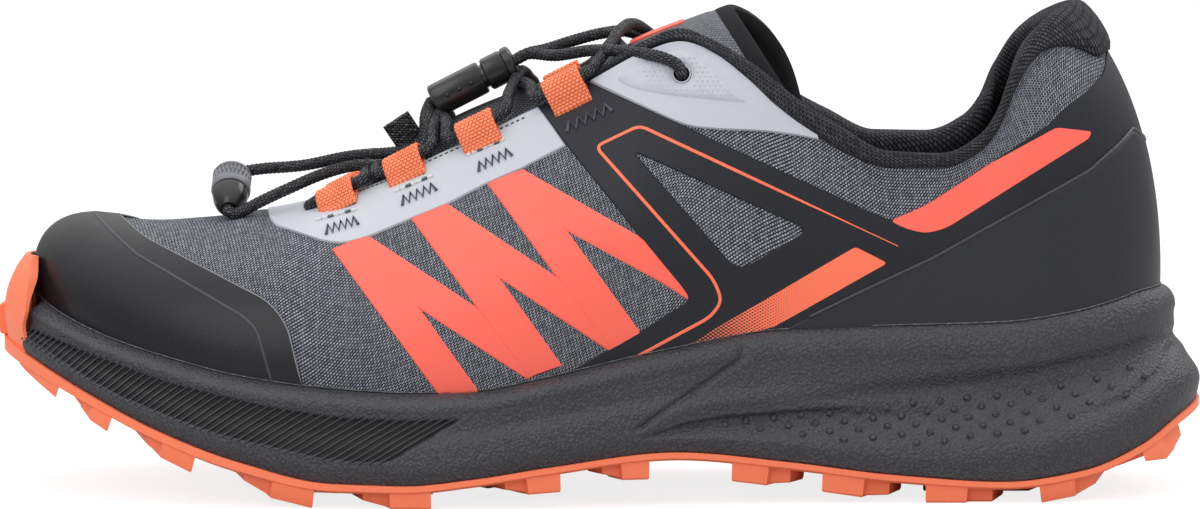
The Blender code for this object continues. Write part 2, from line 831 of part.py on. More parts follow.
def make_loop(name, place):
    middle, along, inward, out = loop_frame(place)
    outside = stadium(LOOP_SPAN / 2.0, LOOP_RISE / 2.0)
    inside = stadium(LOOP_SPAN / 2.0 - LOOP_STRAP, LOOP_RISE / 2.0 - LOOP_STRAP)
    points = []
    for end in (-LOOP_WIDTH / 2.0, LOOP_WIDTH / 2.0):
        for oval in (outside, inside):
            points += [middle + end * along + a * inward + b * out for a, b in oval]
    n = len(outside)
    faces = []
    for j in range(n):
        i = (j + 1) % n
        faces.append((j, i, 2 * n + i, 2 * n + j))
        faces.append((n + j, n + i, 3 * n + i, 3 * n + j))
        faces.append((j, i, n + i, n + j))
        faces.append((2 * n + j, 2 * n + i, 3 * n + i, 3 * n + j))
    return add_mesh(name, points, faces, "webbing_orange")


def round_rings(path, radius, sides):
    """Loops of points round a path."""
    rings = []
    for k, point in enumerate(path):
        ahead = path[min(k + 1, len(path) - 1)] - path[max(k - 1, 0)]
        ahead.normalize()
        across = ahead.cross(UP).normalized()
        above = across.cross(ahead)
        turns = [2.0 * math.pi * j / sides for j in range(sides)]
        rings.append([point + radius * (math.cos(t) * across + math.sin(t) * above) for t in turns])
    return rings


def loop_mouth(place, ahead):
    """Where the lace leaves a webbing loop, in front of it or behind it."""
    middle, along, _, _ = loop_frame(place)
    return middle + ahead * (LOOP_WIDTH / 2.0 + LOOP_END_GAP) * along


def over_tongue(start, end):
    """A lace run between two mouths that stays clear of the tongue."""
    path = []
    for k in range(CROSS_STEPS + 1):
        t = k / CROSS_STEPS
        point = start.lerp(end, t)
        crest = tongue_value("crest", point.x) + LACE_DIAMETER / 2.0 + CROSS_CLEARANCE
        lift = max(0.0, crest - point.z) * math.sin(math.pi * t) ** 0.5
        path.append(point + lift * UP)
    return path


def make_crossings():
    radius = LACE_DIAMETER / 2.0
    bar = over_tongue(loop_mouth(LOOP_PLACES[0], -1.0), loop_mouth(-LOOP_PLACES[0], -1.0))
    prism_of_rings("lace_bar", round_rings(bar, radius, LACE_SIDES), "cloth_black")
    for row in CROSS_ROWS:
        here, following = LOOP_PLACES[row], LOOP_PLACES[row + 1]
        one = over_tongue(loop_mouth(here, 1.0), loop_mouth(-following, -1.0))
        other = over_tongue(loop_mouth(-here, 1.0), loop_mouth(following, -1.0))
        name = "lace_cross_%d" % (row + 1)
        cross = prism_of_rings(name, round_rings(one, radius, LACE_SIDES), "cloth_black")
        join(cross, prism_of_rings(name + "_helper", round_rings(other, radius, LACE_SIDES), "cloth_black"))


def tilted(centre, tilt):
    """Directions of a piece whose axis climbs from toe to heel."""
    angle = math.radians(tilt)
    axis = Vector((math.cos(angle), 0.0, math.sin(angle)))
    return Vector(centre), axis, Vector((0.0, 1.0, 0.0)), Vector((-math.sin(angle), 0.0, math.cos(angle)))


def make_lock():
    centre, axis, across, above = tilted(LOCK_CENTRE, LOCK_TILT)
    rings = []
    for along, half_width, half_height in LOCK_RINGS:
        ring = []
        for j in range(LOCK_SIDES):
            turn = 2.0 * math.pi * (j + 0.5) / LOCK_SIDES
            side, rise = math.cos(turn), math.sin(turn)
            square = 1.0 / max(abs(side), abs(rise)) ** 0.5
            offset = half_width * side * across + half_height * rise * above
            ring.append(centre + along * axis + square * offset)
        rings.append(ring)
    return prism_of_rings("cord_lock", rings, "plastic_black")


def bead_frame():
    """Middle of the bead, its axis towards the lateral side and down, and two directions across."""
    angle = math.radians(BEAD_TILT)
    axis = Vector((0.0, -math.cos(angle), -math.sin(angle)))
    across = Vector((1.0, 0.0, 0.0))
    return Vector(BEAD_CENTRE), axis, across, axis.cross(across)


def make_bead():
    centre, axis, across, above = bead_frame()
    for name, table, look in (
        ("bead_sleeve", SLEEVE_RINGS, "plastic_grey"),
        ("bead_cone", CONE_RINGS, "plastic_black"),
    ):
        rings = []
        for along, radius in table:
            turns = [2.0 * math.pi * j / BEAD_SIDES for j in range(BEAD_SIDES)]
            rings.append([
                centre + along * axis + radius * (math.cos(t) * across + math.sin(t) * above) for t in turns
            ])
        prism_of_rings(name, rings, look)


def make_keeper():
    centre, axis, across, above = tilted(KEEPER_CENTRE, KEEPER_TILT)
    lean = math.radians(KEEPER_LEAN)
    rising = math.sin(lean) * above - math.cos(lean) * across
    flat = rising.cross(axis)
    length, height, thick = (size / 2.0 for size in KEEPER_SIZE)
    rings = []
    for end in (-thick, thick):
        corners = ((-length, -height), (length, -height), (length, height), (-length, height))
        rings.append([centre + end * flat + a * axis + b * rising for a, b in corners])
    return prism_of_rings("lace_keeper", rings, "cloth_black")


def curve_through(points, count):
    """Evenly stepped points on a smooth curve through hand-chosen ones."""
    ends = [points[0] * 2 - points[1]] + points + [points[-1] * 2 - points[-2]]
    fine = []
    for a, b, c, d in zip(ends, ends[1:], ends[2:], ends[3:]):
        for k in range(ROUTE_STEPS):
            t = k / ROUTE_STEPS
            square = (2 * a - 5 * b + 4 * c - d) * t**2
            cube = (3 * b - a - 3 * c + d) * t**3
            fine.append(0.5 * (2 * b + (c - a) * t + square + cube))
    fine.append(points[-1])
    reach = [0.0]
    for a, b in zip(fine, fine[1:]):
        reach.append(reach[-1] + (b - a).length)
    picked = []
    for k in range(count):
        at = reach[-1] * k / (count - 1)
        i = max(j for j in range(len(reach) - 1) if j == 0 or reach[j] <= at)
        picked.append(fine[i].lerp(fine[i + 1], (at - reach[i]) / (reach[i + 1] - reach[i])))
    return picked


def add_cord(name, points):
    """A lace run as a round tube along a poly line."""
    curve = bpy.data.curves.new(name, "CURVE")
    curve.dimensions = "3D"
    curve.bevel_depth = LACE_DIAMETER / 2.0 * MM
    curve.bevel_resolution = 2
    curve.use_fill_caps = True
    path = curve_through(points, LACE_POINTS)
    line = curve.splines.new("POLY")
    line.points.add(len(path) - 1)
    for spot, point in zip(line.points, path):
        spot.co = (*((point + FRAME_SHIFT) * MM), 1.0)
    curve.materials.append(material("cloth_black"))
    thing = bpy.data.objects.new(name, curve)
    bpy.context.scene.collection.objects.link(thing)
    return thing


def make_lace_ends():
    """Lace from the top eyelets into the cord lock, and on to the bead."""
    centre, axis, across, _ = tilted(LOCK_CENTRE, LOCK_TILT)
    radius = LACE_DIAMETER / 2.0
    behind = LOCK_RINGS[-1][0] + GAP
    ahead = LOCK_RINGS[0][0] - GAP
    for name, side in (("lace_end_lateral", -1.0), ("lace_end_medial", 1.0)):
        hole = upper_point(-side * EYELET_PLACE, EYELET_HIGH, radius + GAP)
        mouth = centre + behind * axis + side * LOCK_LACE_SPREAD * across
        add_cord(name, [
            hole,
            *(Vector((x, side * y, z)) for x, y, z in END_ROUTE),
            mouth + END_STRAIGHT * axis,
            mouth,
        ])
    bead, turn, _, _ = bead_frame()
    tail_start = centre + ahead * axis
    far_mouth = bead + (SLEEVE_RINGS[0][0] - GAP) * turn
    near_mouth = bead + (CONE_RINGS[-1][0] + GAP) * turn
    bend = BEAD_TURN * turn
    aside = Vector((BEAD_TURN, 0.0, 0.0))
    for name, side, route, mouth, way in (
        ("lace_tail_medial", 1.0, TAIL_ROUTE_MEDIAL, far_mouth, -1.0),
        ("lace_tail_lateral", -1.0, TAIL_ROUTE_LATERAL, near_mouth, 1.0),
    ):
        start = tail_start + side * LOCK_LACE_SPREAD * across
        add_cord(name, [
            start,
            start - END_STRAIGHT * axis,
            *(Vector(point) for point in route),
            mouth + way * bend + aside,
            mouth + way * BEAD_END_GAP * turn,
        ])


def clear_scene():
    for thing in list(bpy.data.objects):
        bpy.data.objects.remove(thing)


clear_scene()
make_outsole()
make_midsole()
make_insole()
make_upper()
make_tongue()
make_toe_cap()
make_counter()
for number, loop_place in enumerate(LOOP_PLACES, start=1):
    make_loop("loop_lateral_%d" % number, loop_place)
    make_loop("loop_medial_%d" % number, -loop_place)
make_crossings()
make_lock()
make_bead()
make_keeper()
make_lace_ends()
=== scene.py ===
import json
import math

import bmesh
import bpy
import numpy as np
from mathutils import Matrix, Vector
from mathutils.bvhtree import BVHTree
from mathutils.geometry import delaunay_2d_cdt

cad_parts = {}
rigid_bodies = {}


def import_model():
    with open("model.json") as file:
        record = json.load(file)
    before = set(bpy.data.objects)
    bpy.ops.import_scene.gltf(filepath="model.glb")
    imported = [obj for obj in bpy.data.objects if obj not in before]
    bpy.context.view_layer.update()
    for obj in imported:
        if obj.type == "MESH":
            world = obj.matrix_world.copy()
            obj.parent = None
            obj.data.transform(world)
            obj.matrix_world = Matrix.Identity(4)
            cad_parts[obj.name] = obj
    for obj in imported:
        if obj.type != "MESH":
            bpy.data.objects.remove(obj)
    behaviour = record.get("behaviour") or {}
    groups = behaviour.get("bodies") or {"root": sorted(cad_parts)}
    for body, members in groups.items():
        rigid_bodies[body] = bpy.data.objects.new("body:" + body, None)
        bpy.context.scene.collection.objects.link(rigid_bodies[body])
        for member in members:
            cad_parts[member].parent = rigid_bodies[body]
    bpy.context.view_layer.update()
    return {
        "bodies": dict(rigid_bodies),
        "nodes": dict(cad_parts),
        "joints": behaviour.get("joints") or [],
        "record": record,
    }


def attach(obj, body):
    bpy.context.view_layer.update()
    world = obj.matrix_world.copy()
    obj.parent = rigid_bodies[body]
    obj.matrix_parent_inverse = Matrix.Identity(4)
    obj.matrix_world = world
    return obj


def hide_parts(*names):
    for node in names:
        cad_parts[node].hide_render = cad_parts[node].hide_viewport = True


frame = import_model()
print("frame loaded,", len(frame["nodes"]), "nodes")

mm = 0.001
tiny = 1e-6
weldGap, slimGap = 2e-6, 1e-7  # metres
bothSides = (1.0, -1.0)  # the sign of a place: lateral, medial
upWay = np.array((0.0, 0.0, 1.0))


def stacked(*parts):
    return np.stack(np.broadcast_arrays(*parts), -1)


def unit(vectors):
    return vectors / np.maximum(np.linalg.norm(vectors, axis=-1, keepdims=True), 1e-12)


def smoothStep(start, end, at):
    t = np.clip((at - start) / (end - start), 0.0, 1.0)
    return t * t * (3.0 - 2.0 * t)


def hump(away, wide):
    return np.exp(-((away / wide) ** 2))


def turnsOf(count):
    return 2.0 * np.pi * np.arange(count) / count


# how far along a path each of its points lies
def runLength(path):
    return np.concatenate([[0.0], np.cumsum(np.linalg.norm(np.diff(path, axis=0), axis=1))])


# the photograph's camera: sizes in millimetres, pixels of the 1200 by 509 frame
photo = {
    "width": 1200,
    "middle": (600.0, 254.5),
    "focal": 4800.0, "distance": 1200.0, "elevation": 4.0,
    "target": (0.0, 0.0, 57.6),
    "sensor": 36.0, "clipEnd": 100.0,
    "searched": (1120.0, 1230.0, 3.0),
}
eyeTilt = math.radians(photo["elevation"])
eyeAhead = np.array((0.0, math.cos(eyeTilt), -math.sin(eyeTilt)))
eyeAbove = np.array((0.0, math.sin(eyeTilt), math.cos(eyeTilt)))
eyeRight = np.array((1.0, 0.0, 0.0))
eyePoint = np.array(photo["target"]) - photo["distance"] * eyeAhead


def toPixels(points):
    rays = np.asarray(points, float) - eyePoint
    scale = photo["focal"] / (rays @ eyeAhead)
    across, down = photo["middle"]
    return stacked(across + scale * (rays @ eyeRight), down - scale * (rays @ eyeAbove))


def pixelRay(pixel):
    across, down = (np.asarray(pixel) - photo["middle"]) / photo["focal"]
    return unit(eyeAhead + across * eyeRight - down * eyeAbove)


def addCamera():
    data = bpy.data.cameras.new("photoCamera")
    data.sensor_width = photo["sensor"]
    data.lens = photo["sensor"] * photo["focal"] / photo["width"]
    data.clip_end = photo["clipEnd"]
    camera = bpy.data.objects.new("photoCamera", data)
    camera.location = Vector(eyePoint * mm)
    camera.rotation_euler = (math.pi / 2 - eyeTilt, 0.0, 0.0)
    bpy.context.scene.collection.objects.link(camera)
    bpy.context.scene.camera = camera


addCamera()
print("camera set")

# the last: sole sections by share of length, top line and profile shape by place round the loop
# (a place is 0 at the toe tip, 1 and -1 at the heel, positive on the lateral side)
last = {
    "shift": (-0.05, -0.333, 0.0),
    "length": 300.0, "toeRound": 0.24, "heelRound": 0.16, "wall": 2.2, "gap": 0.3, "step": 1e-3,
    "throat": 0.32,
    "medialRise": (3.0, 0.56, 0.82),
    "sole": (
        ("station", "centre", "halfWidth", "ground", "seam", "floor", "rim"),
        (0.000, 9, 50, 33.5, 37, 39, 49),
        (0.033, 8, 50, 29.4, 32.4, 34.8, 44.4),
        (0.083, 6.3, 50.2, 22.8, 25.2, 30, 39.2),
        (0.140, 5, 50.6, 15.2, 17.4, 26, 34.8),
        (0.207, 3.5, 51.6, 8.3, 10.5, 22.6, 30.6),
        (0.285, 1.3, 52.8, 3.7, 5.7, 20.4, 28),
        (0.340, -0.8, 52.8, 3.5, 5.5, 20, 27.2),
        (0.400, -3.2, 51, 5.3, 7.3, 20.3, 27.7),
        (0.460, -4.6, 47.5, 7.9, 9.9, 21.2, 30.8),
        (0.560, -4.8, 41, 10.9, 12.9, 24.6, 37.3),
        (0.650, -3.4, 38.3, 8.2, 10.2, 27.2, 41.7),
        (0.740, -1.6, 39, 4.8, 6.8, 28.9, 42.6),
        (0.827, -0.6, 40, 3.2, 5.2, 29.8, 43.3),
        (0.893, -0.2, 40, 5.7, 7.7, 30.6, 45.4),
        (0.943, 0, 40, 11, 13.2, 31.6, 48),
        (0.977, 0, 40, 17, 19.4, 32.4, 50),
        (1.000, 0, 40, 20.2, 22.8, 33, 50.5),
    ),
    "top": (
        ("place", "x", "axis", "spread", "z"),
        (0.000, -126, 6, 0, 67.2),
        (0.100, -123, 6, 0, 66.9),
        (0.200, -109, 5, 0, 66),
        (0.270, -91, 4, 0, 67.6),
        (0.320, -76, 3, 0, 70),
        (0.350, -66, 2.5, 10, 72.4),
        (0.380, -56, 2, 15, 75.8),
        (0.415, -40, 1.5, 18.5, 83.6),
        (0.453, -22, 1, 20.5, 92.4),
        (0.495, -3, 0.5, 21.5, 102),
        (0.523, 11, 0, 22, 109.6),
        (0.545, 20, 0, 23, 112.2),
        (0.560, 28, 0, 24.5, 109.6),
        (0.580, 38, 0, 26.5, 104.6),
        (0.603, 48, 0, 28, 97.2),
        (0.630, 58, 0, 29, 91),
        (0.660, 70, 0, 30, 84.8),
        (0.695, 83, 0, 30, 84.2),
        (0.735, 92.5, 0, 29.5, 88.6),
        (0.765, 97, 0, 28.5, 95),
        (0.800, 100.5, 0, 26.5, 104.5),
        (0.850, 105.5, 0, 21.5, 113),
        (0.910, 112, 0, 13.5, 118.4),
        (0.960, 115.8, 0, 6.2, 120.1),
        (1.000, 117, 0, 0, 120.4),
    ),
    "shape": (
        ("place", "baseInset", "lowOut", "lowReach", "topDrop", "topReach"),
        (0.00, 10.5, 16, 0.68, 0, 0.40),
        (0.10, 10.5, 15, 0.62, 0, 0.42),
        (0.20, 10, 13, 0.52, 0, 0.44),
        (0.32, 9.5, 11, 0.42, 4, 0.46),
        (0.38, 9, 10, 0.40, 25, 0.45),
        (0.45, 9, 9, 0.36, 45, 0.42),
        (0.54, 9, 9, 0.35, 62, 0.40),
        (0.62, 9.5, 10, 0.35, 74, 0.35),
        (0.70, 10, 11, 0.36, 82, 0.33),
        (0.80, 11, 10, 0.37, 72, 0.33),
        (0.90, 12, 8, 0.35, 55, 0.33),
        (1.00, 12, 8, 0.33, 45, 0.33),
    ),
    "highest": 0.9, "halvings": 30,
}


# a smooth curve through a column of a table, headed by its names, that never overshoots the rows
def readTable(table, name, at, levelEnds=False):
    names, *rows = table
    keys, values = np.array(rows, float)[:, [0, names.index(name)]].T
    at = np.clip(np.asarray(at, float), keys[0], keys[-1])
    widths = np.diff(keys)
    rises = np.diff(values) / widths
    slopes = np.zeros(len(keys))
    before, after = rises[:-1], rises[1:]
    same = before * after > 0.0
    slopes[1:-1][same] = 2.0 * before[same] * after[same] / (before + after)[same]
    if not levelEnds:
        slopes[0], slopes[-1] = rises[0], rises[-1]
    i = np.clip(np.searchsorted(keys, at, side="right") - 1, 0, len(widths) - 1)
    w = widths[i]
    t = (at - keys[i]) / w
    return (
        values[i] * (2 * t**3 - 3 * t**2 + 1)
        + slopes[i] * w * (t**3 - 2 * t**2 + t)
        + values[i + 1] * (3 * t**2 - 2 * t**3)
        + slopes[i + 1] * w * (t**3 - t**2)
    )


def soleValue(name, station):
    return readTable(last["sole"], name, station)


def wrapPlace(place):
    return (np.asarray(place, float) + 1.0) % 2.0 - 1.0


def sideOf(place):
    return np.where(wrapPlace(place) >= 0.0, -1.0, 1.0)


def stationOf(place):
    return (1.0 - np.cos(np.pi * wrapPlace(place))) / 2.0


def stationAt(x):
    return np.asarray(x, float) / last["length"] + 0.5


def placeAt(x):
    return np.arccos(np.clip(1.0 - 2.0 * stationAt(x), -1.0, 1.0)) / np.pi


def outlineEdge(place):
    station = stationOf(place)
    toe = 1.0 - np.clip(station / last["toeRound"], 0.0, 1.0)
    heel = np.clip((station - 1.0 + last["heelRound"]) / last["heelRound"], 0.0, 1.0)
    width = soleValue("halfWidth", station) * np.sqrt(1.0 - toe**2) * np.sqrt(1.0 - heel**2)
    x = last["length"] * (station - 0.5)
    return stacked(x, soleValue("centre", station) + sideOf(place) * width, 0.0)


def outlineOut(place):
    along = outlineEdge(place + last["step"]) - outlineEdge(place - last["step"])
    return unit(stacked(along[..., 1], -along[..., 0], 0.0))


def outlineAt(place, inset, z):
    point = outlineEdge(place) - np.asarray(inset)[..., None] * outlineOut(place)
    return stacked(point[..., 0], point[..., 1], z)


def levelAt(name, place):
    return soleValue(name, stationOf(place))


def upperControls(place):
    place = wrapPlace(place)
    u, side = np.abs(place), sideOf(place)
    shape = {name: readTable(last["shape"], name, u, True) for name in last["shape"][0][1:]}
    line = {name: readTable(last["top"], name, u, name != "spread") for name in last["top"][0][1:]}
    lift, liftFrom, liftTo = last["medialRise"]
    share = np.clip((u - liftFrom) / (liftTo - liftFrom), 0.0, 1.0)
    rise = np.where(side > 0.0, lift * np.sin(np.pi * share) ** 2, 0.0)
    out = outlineOut(place)
    base = outlineAt(place, shape["baseInset"], levelAt("floor", place) + last["gap"])
    top = stacked(line["x"], line["axis"] + side * line["spread"], line["z"] + rise)
    span = np.linalg.norm(top - base, axis=-1)
    lowOut, drop = np.radians(shape["lowOut"]), np.radians(shape["topDrop"])
    lean = np.sin(lowOut)[..., None] * out + np.cos(lowOut)[..., None] * upWay
    fall = np.cos(drop)[..., None] * out - np.sin(drop)[..., None] * upWay
    low = base + (span * shape["lowReach"])[..., None] * lean
    high = top + (span * shape["topReach"])[..., None] * fall
    return base, low, high, top


def upperSurface(place, v):
    base, low, high, top = upperControls(place)
    v = np.asarray(v, float)[..., None]
    w = 1.0 - v
    return w**3 * base + 3 * w * w * v * low + 3 * w * v * v * high + v**3 * top


def upperNormal(place, v):
    step = last["step"]
    along = upperSurface(place + step, v) - upperSurface(place - step, v)
    rising = upperSurface(place, np.minimum(1.0, v + step)) - upperSurface(place, np.maximum(0.0, v - step))
    ridge = (np.abs(wrapPlace(place)) <= last["throat"] + step) & (v > 1.0 - step)
    return np.where(ridge[..., None], upWay, unit(np.cross(along, rising)))


# soft troughs and ridges of the cloth: place, height share, their spreads, depth (negative is a ridge)
creases = {
    "rows": (
        (0.262, 0.90, 0.012, 0.16, 0.55),
        (0.292, 0.84, 0.012, 0.18, -0.45),
        (0.318, 0.78, 0.011, 0.14, 0.50),
        (0.245, 0.55, 0.016, 0.13, 0.35),
        (0.372, 0.45, 0.022, 0.16, 0.40),
        (0.430, 0.40, 0.026, 0.16, -0.30),
        (0.660, 0.80, 0.040, 0.10, 0.60),
        (0.780, 0.72, 0.030, 0.12, -0.45),
    ),
    "topFade": 0.93, "lowFade": 0.15,
}


def upperRelief(place, v):
    u = np.abs(wrapPlace(place))
    relief = np.zeros(np.broadcast(u, v).shape)
    for at, high, wide, tall, depth in creases["rows"]:
        relief -= depth * hump(u - at, wide) * hump(v - high, tall)
    return relief * smoothStep(1.0, creases["topFade"], v) * smoothStep(0.0, creases["lowFade"], v)


# a height share past 1 carries on over the ridge, or over the throat, to the other side
def upperAt(place, v, offset=0.0):
    place, v, offset = np.broadcast_arrays(*(np.asarray(a, float) for a in (place, v, offset)))
    over = v > 1.0
    place, v = np.where(over, -place, place), np.where(over, 2.0 - v, v)
    away = (offset + upperRelief(place, v))[..., None]
    return upperSurface(place, v) + away * upperNormal(place, v)


# the height share at which the upper reaches a level, by halving
def heightAt(place, z):
    place = np.asarray(place, float)
    low, high = np.zeros(place.shape), np.full(place.shape, last["highest"])
    for _ in range(last["halvings"]):
        middle = (low + high) / 2.0
        under = upperSurface(place, middle)[..., 2] < z
        low, high = np.where(under, middle, low), np.where(under, high, middle)
    return low


# spots are rows of place and height share
def spotsAt(spots, offset=0.0):
    return upperAt(spots[:, 0], spots[:, 1], offset)


def spotsOut(spots):
    return upperNormal(spots[:, 0], spots[:, 1])


def mirrored(spots, side):
    return np.asarray(spots) * (side, 1.0)


def eachSide(spots):
    return [mirrored(spots, side) for side in bothSides]


# one piece of the model, points in millimetres, riding on the root body
def makePiece(
    name, slot, points, faces, lookNames, lookOf=None, cornerUv=None, sharp=None, weld=False, nodes=()
):
    mesh = bpy.data.meshes.new(name)
    placed = (np.asarray(points, float).reshape(-1, 3) + np.array(last["shift"])) * mm
    mesh.from_pydata(placed.tolist(), [], [tuple(int(i) for i in f) for f in faces])
    if cornerUv is not None:
        layer = mesh.uv_layers.new(name="flatMap")
        layer.uv.foreach_set("vector", np.asarray(cornerUv, np.float32).ravel())
    for look in lookNames:
        mesh.materials.append(looks[look])
    if lookOf is not None:
        mesh.polygons.foreach_set("material_index", np.asarray(lookOf, np.int32))
    build = bmesh.new()
    build.from_mesh(mesh)
    if weld:
        bmesh.ops.remove_doubles(build, verts=build.verts, dist=weldGap)
        bmesh.ops.dissolve_degenerate(build, edges=build.edges, dist=slimGap)
    bmesh.ops.recalc_face_normals(build, faces=build.faces)
    build.to_mesh(mesh)
    build.free()
    mesh.shade_smooth()
    if sharp:
        mesh.set_sharp_from_angle(angle=math.radians(sharp))
    piece = bpy.data.objects.new(name, mesh)
    bpy.context.scene.collection.objects.link(piece)
    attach(piece, "root")
    if nodes:
        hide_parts(*nodes)
    return piece


class Bundle:  # many small shapes joined into one piece
    def __init__(self):
        self.points, self.faces, self.uv, self.looks, self.count = [], [], [], [], 0

    def add(self, points, faces, uv=None, look=0):
        points = np.asarray(points, float).reshape(-1, 3)
        self.points.append(points)
        self.faces += [tuple(int(i) + self.count for i in f) for f in faces]
        self.uv.append(np.zeros((len(points), 2)) if uv is None else uv)
        self.looks += [look] * len(faces)
        self.count += len(points)

    def make(self, name, slot, lookNames, sharp=None, nodes=()):
        corner = [i for f in self.faces for i in f]
        cornerUv = np.concatenate(self.uv)[corner]
        points = np.concatenate(self.points)
        return makePiece(name, slot, points, self.faces, lookNames, self.looks, cornerUv, sharp, nodes=nodes)


# faces of a grid of rows by columns, and each corner's row and column before wrapping
def gridFaces(rows, cols, closeRows=False, closeCols=False):
    rowAt, colAt = np.arange(rows - (not closeRows)), np.arange(cols - (not closeCols))
    r, c = (a.ravel() for a in np.meshgrid(rowAt, colAt, indexing="ij"))
    corners = np.stack([stacked(r + down, c + on) for down, on in ((0, 0), (0, 1), (1, 1), (1, 0))], 1)
    return ((corners[..., 0] % rows) * cols + corners[..., 1] % cols).tolist(), corners


# a flat map's value at each corner of a grid's faces, and zeros for the corners of further faces
def cornerMap(table, corners, further=0):
    return np.concatenate([table[corners[..., 0], corners[..., 1]].reshape(-1, 2), np.zeros((further, 2))])


# a solid from rows of ring points, its two ends closed
def turnedSolid(rings):
    rows, cols = rings.shape[:2]
    faces, _ = gridFaces(rows, cols, False, True)
    n = rows * cols
    return rings.reshape(-1, 3), faces + [range(cols), range(n - 1, n - cols - 1, -1)]


# the same with each end closed to a middle point
def fanSolid(rings, ends):
    rows, cols = rings.shape[:2]
    faces, corners = gridFaces(rows, cols, False, True)
    n = rows * cols
    for j in range(cols):
        following = (j + 1) % cols
        faces += [(n, following, j), (n + 1, n - cols + j, n - cols + following)]
    return np.concatenate([rings.reshape(-1, 3), ends]), faces, corners


# two skins of a grid joined round their edges, leaving the far edge open where it is not walled
def twoSkins(outer, inner, walled=None, closeRows=False):
    rows, cols = outer.shape[:2]
    front, corners = gridFaces(rows, cols, closeRows)
    skin = rows * cols
    faces = front + [[i + skin for i in f[::-1]] for f in front]
    for j in range(rows - (not closeRows)):
        a, b = j * cols, (j + 1) % rows * cols
        faces.append((a, b, skin + b, skin + a))
        if walled is None or walled[j]:
            a, b = a + cols - 1, b + cols - 1
            faces.append((b, a, skin + a, skin + b))
    for end in () if closeRows else (0, skin - cols):
        faces += [(end + k, end + k + 1, skin + end + k + 1, skin + end + k) for k in range(cols - 1)]
    return np.concatenate([outer.reshape(-1, 3), inner.reshape(-1, 3)]), faces, corners


# the smooth step between b and c of four neighbours
def betweenPoints(a, b, c, d, t):
    cube = (3 * b - a - 3 * c + d) * t**3
    return 0.5 * (2 * b + (c - a) * t + (2 * a - 5 * b + 4 * c - d) * t**2 + cube)


# a smooth curve through given points, stepped evenly
def curveThrough(points, spacing, closed=False, between=12):
    points = np.asarray(points, float)
    if closed:
        ends = np.concatenate([points[-1:], points, points[:2]])
    else:
        ends = np.concatenate([2 * points[:1] - points[1:2], points, 2 * points[-1:] - points[-2:-1]])
    t = (np.arange(between) / between)[:, None]
    fine = [betweenPoints(*four, t) for four in zip(ends, ends[1:], ends[2:], ends[3:])]
    fine = np.concatenate(fine + [points[:1] if closed else points[-1:]])
    reach = runLength(fine)
    at = np.linspace(0.0, reach[-1], max(2, int(round(reach[-1] / spacing)) + 1))
    return np.stack([np.interp(at, reach, column) for column in fine.T], -1)


# two directions across a path that turn with it and never twist
def pathFrames(path):
    tangents = unit(np.gradient(path, axis=0))
    across = np.zeros_like(path)
    held = upWay
    for k, tangent in enumerate(tangents):
        held = held - held.dot(tangent) * tangent
        if np.linalg.norm(held) < tiny:
            held = np.cross(tangent, (0.3, 0.9, 0.2))
        held = across[k] = unit(held)
    return across, np.cross(tangents, across)


def tubeParts(path, radius, count, relief=None):
    one, two = pathFrames(path)
    turn, reach = turnsOf(count), runLength(path)
    radii = np.full((len(path), count), radius)
    if relief:
        radii = radii + relief(reach[:, None], turn[None, :])
    ring = np.cos(turn)[None, :, None] * one[:, None] + np.sin(turn)[None, :, None] * two[:, None]
    points, faces, corners = fanSolid(path[:, None] + radii[..., None] * ring, [path[0], path[-1]])
    around = np.mean(radii) * np.append(turn, 2.0 * np.pi)
    return points, faces, cornerMap(stacked(reach[:, None], around), corners, 6 * count)


# a round thread or raised line laid along spots on the upper
def surfaceTube(bundle, spots, radius, offset, count=8, look=0, spacing=0.6):
    path = spotsAt(spots, offset)
    if spacing:
        path = curveThrough(path, spacing)
    points, faces, _ = tubeParts(path, radius, count)
    bundle.add(points, faces, look=look)


# a strip with sloping edges along points on a surface
def barStrip(bundle, points, outs, width, low, high, look=0):
    side = unit(np.cross(unit(np.gradient(points, axis=0)), outs))
    section = ((low, -0.5), (high, -0.3), (high, 0.3), (low, 0.5))
    rings = [points + up * outs + across * width * side for up, across in section]
    bundle.add(*turnedSolid(np.stack(rings, 1)), look=look)


domeTilts = (-0.5, 0.0, 0.55, 1.05)  # of its rings, in radians


def dome(bundle, centre, out, radius, height, count=10, look=0):
    one = unit(np.cross(out, (0.31, 0.2, 0.93)))
    turn = turnsOf(count)[:, None]
    ring = np.cos(turn) * one + np.sin(turn) * np.cross(out, one)
    rings = [centre + radius * math.cos(a) * ring + height * math.sin(a) * out for a in domeTilts]
    points, faces, _ = fanSolid(np.stack(rings), [centre - height * out, centre + height * out])
    bundle.add(points, faces, look=look)


# distance of pixels from a line drawn in the photograph
def lineDistance(pixels, line):
    line = np.asarray(line, float)
    best = np.full(pixels.shape[:-1], np.inf)
    for a, b in zip(line, line[1:]):
        along = b - a
        t = np.clip(((pixels - a) @ along) / (along @ along), 0.0, 1.0)
        best = np.minimum(best, np.linalg.norm(pixels - a - t[..., None] * along, axis=-1))
    return best


def insideOf(points, polygon):
    x, y = points[..., 0], points[..., 1]
    inside = np.zeros(x.shape, bool)
    for (ax, ay), (bx, by) in zip(polygon, np.roll(polygon, -1, axis=0)):
        if ay != by:
            inside ^= ((ay > y) != (by > y)) & (x < (bx - ax) * (y - ay) / (by - ay) + ax)
    return inside


# points in rows over a box, every second row half a step along
def latticeOver(low, high, stepX, stepY):
    return np.array([
        (low[0] + (i + 0.5 * (j % 2)) * stepX, low[1] + j * stepY)
        for j in range(int((high[1] - low[1]) / stepY) + 1)
        for i in range(int((high[0] - low[0]) / stepX) + 1)
    ])


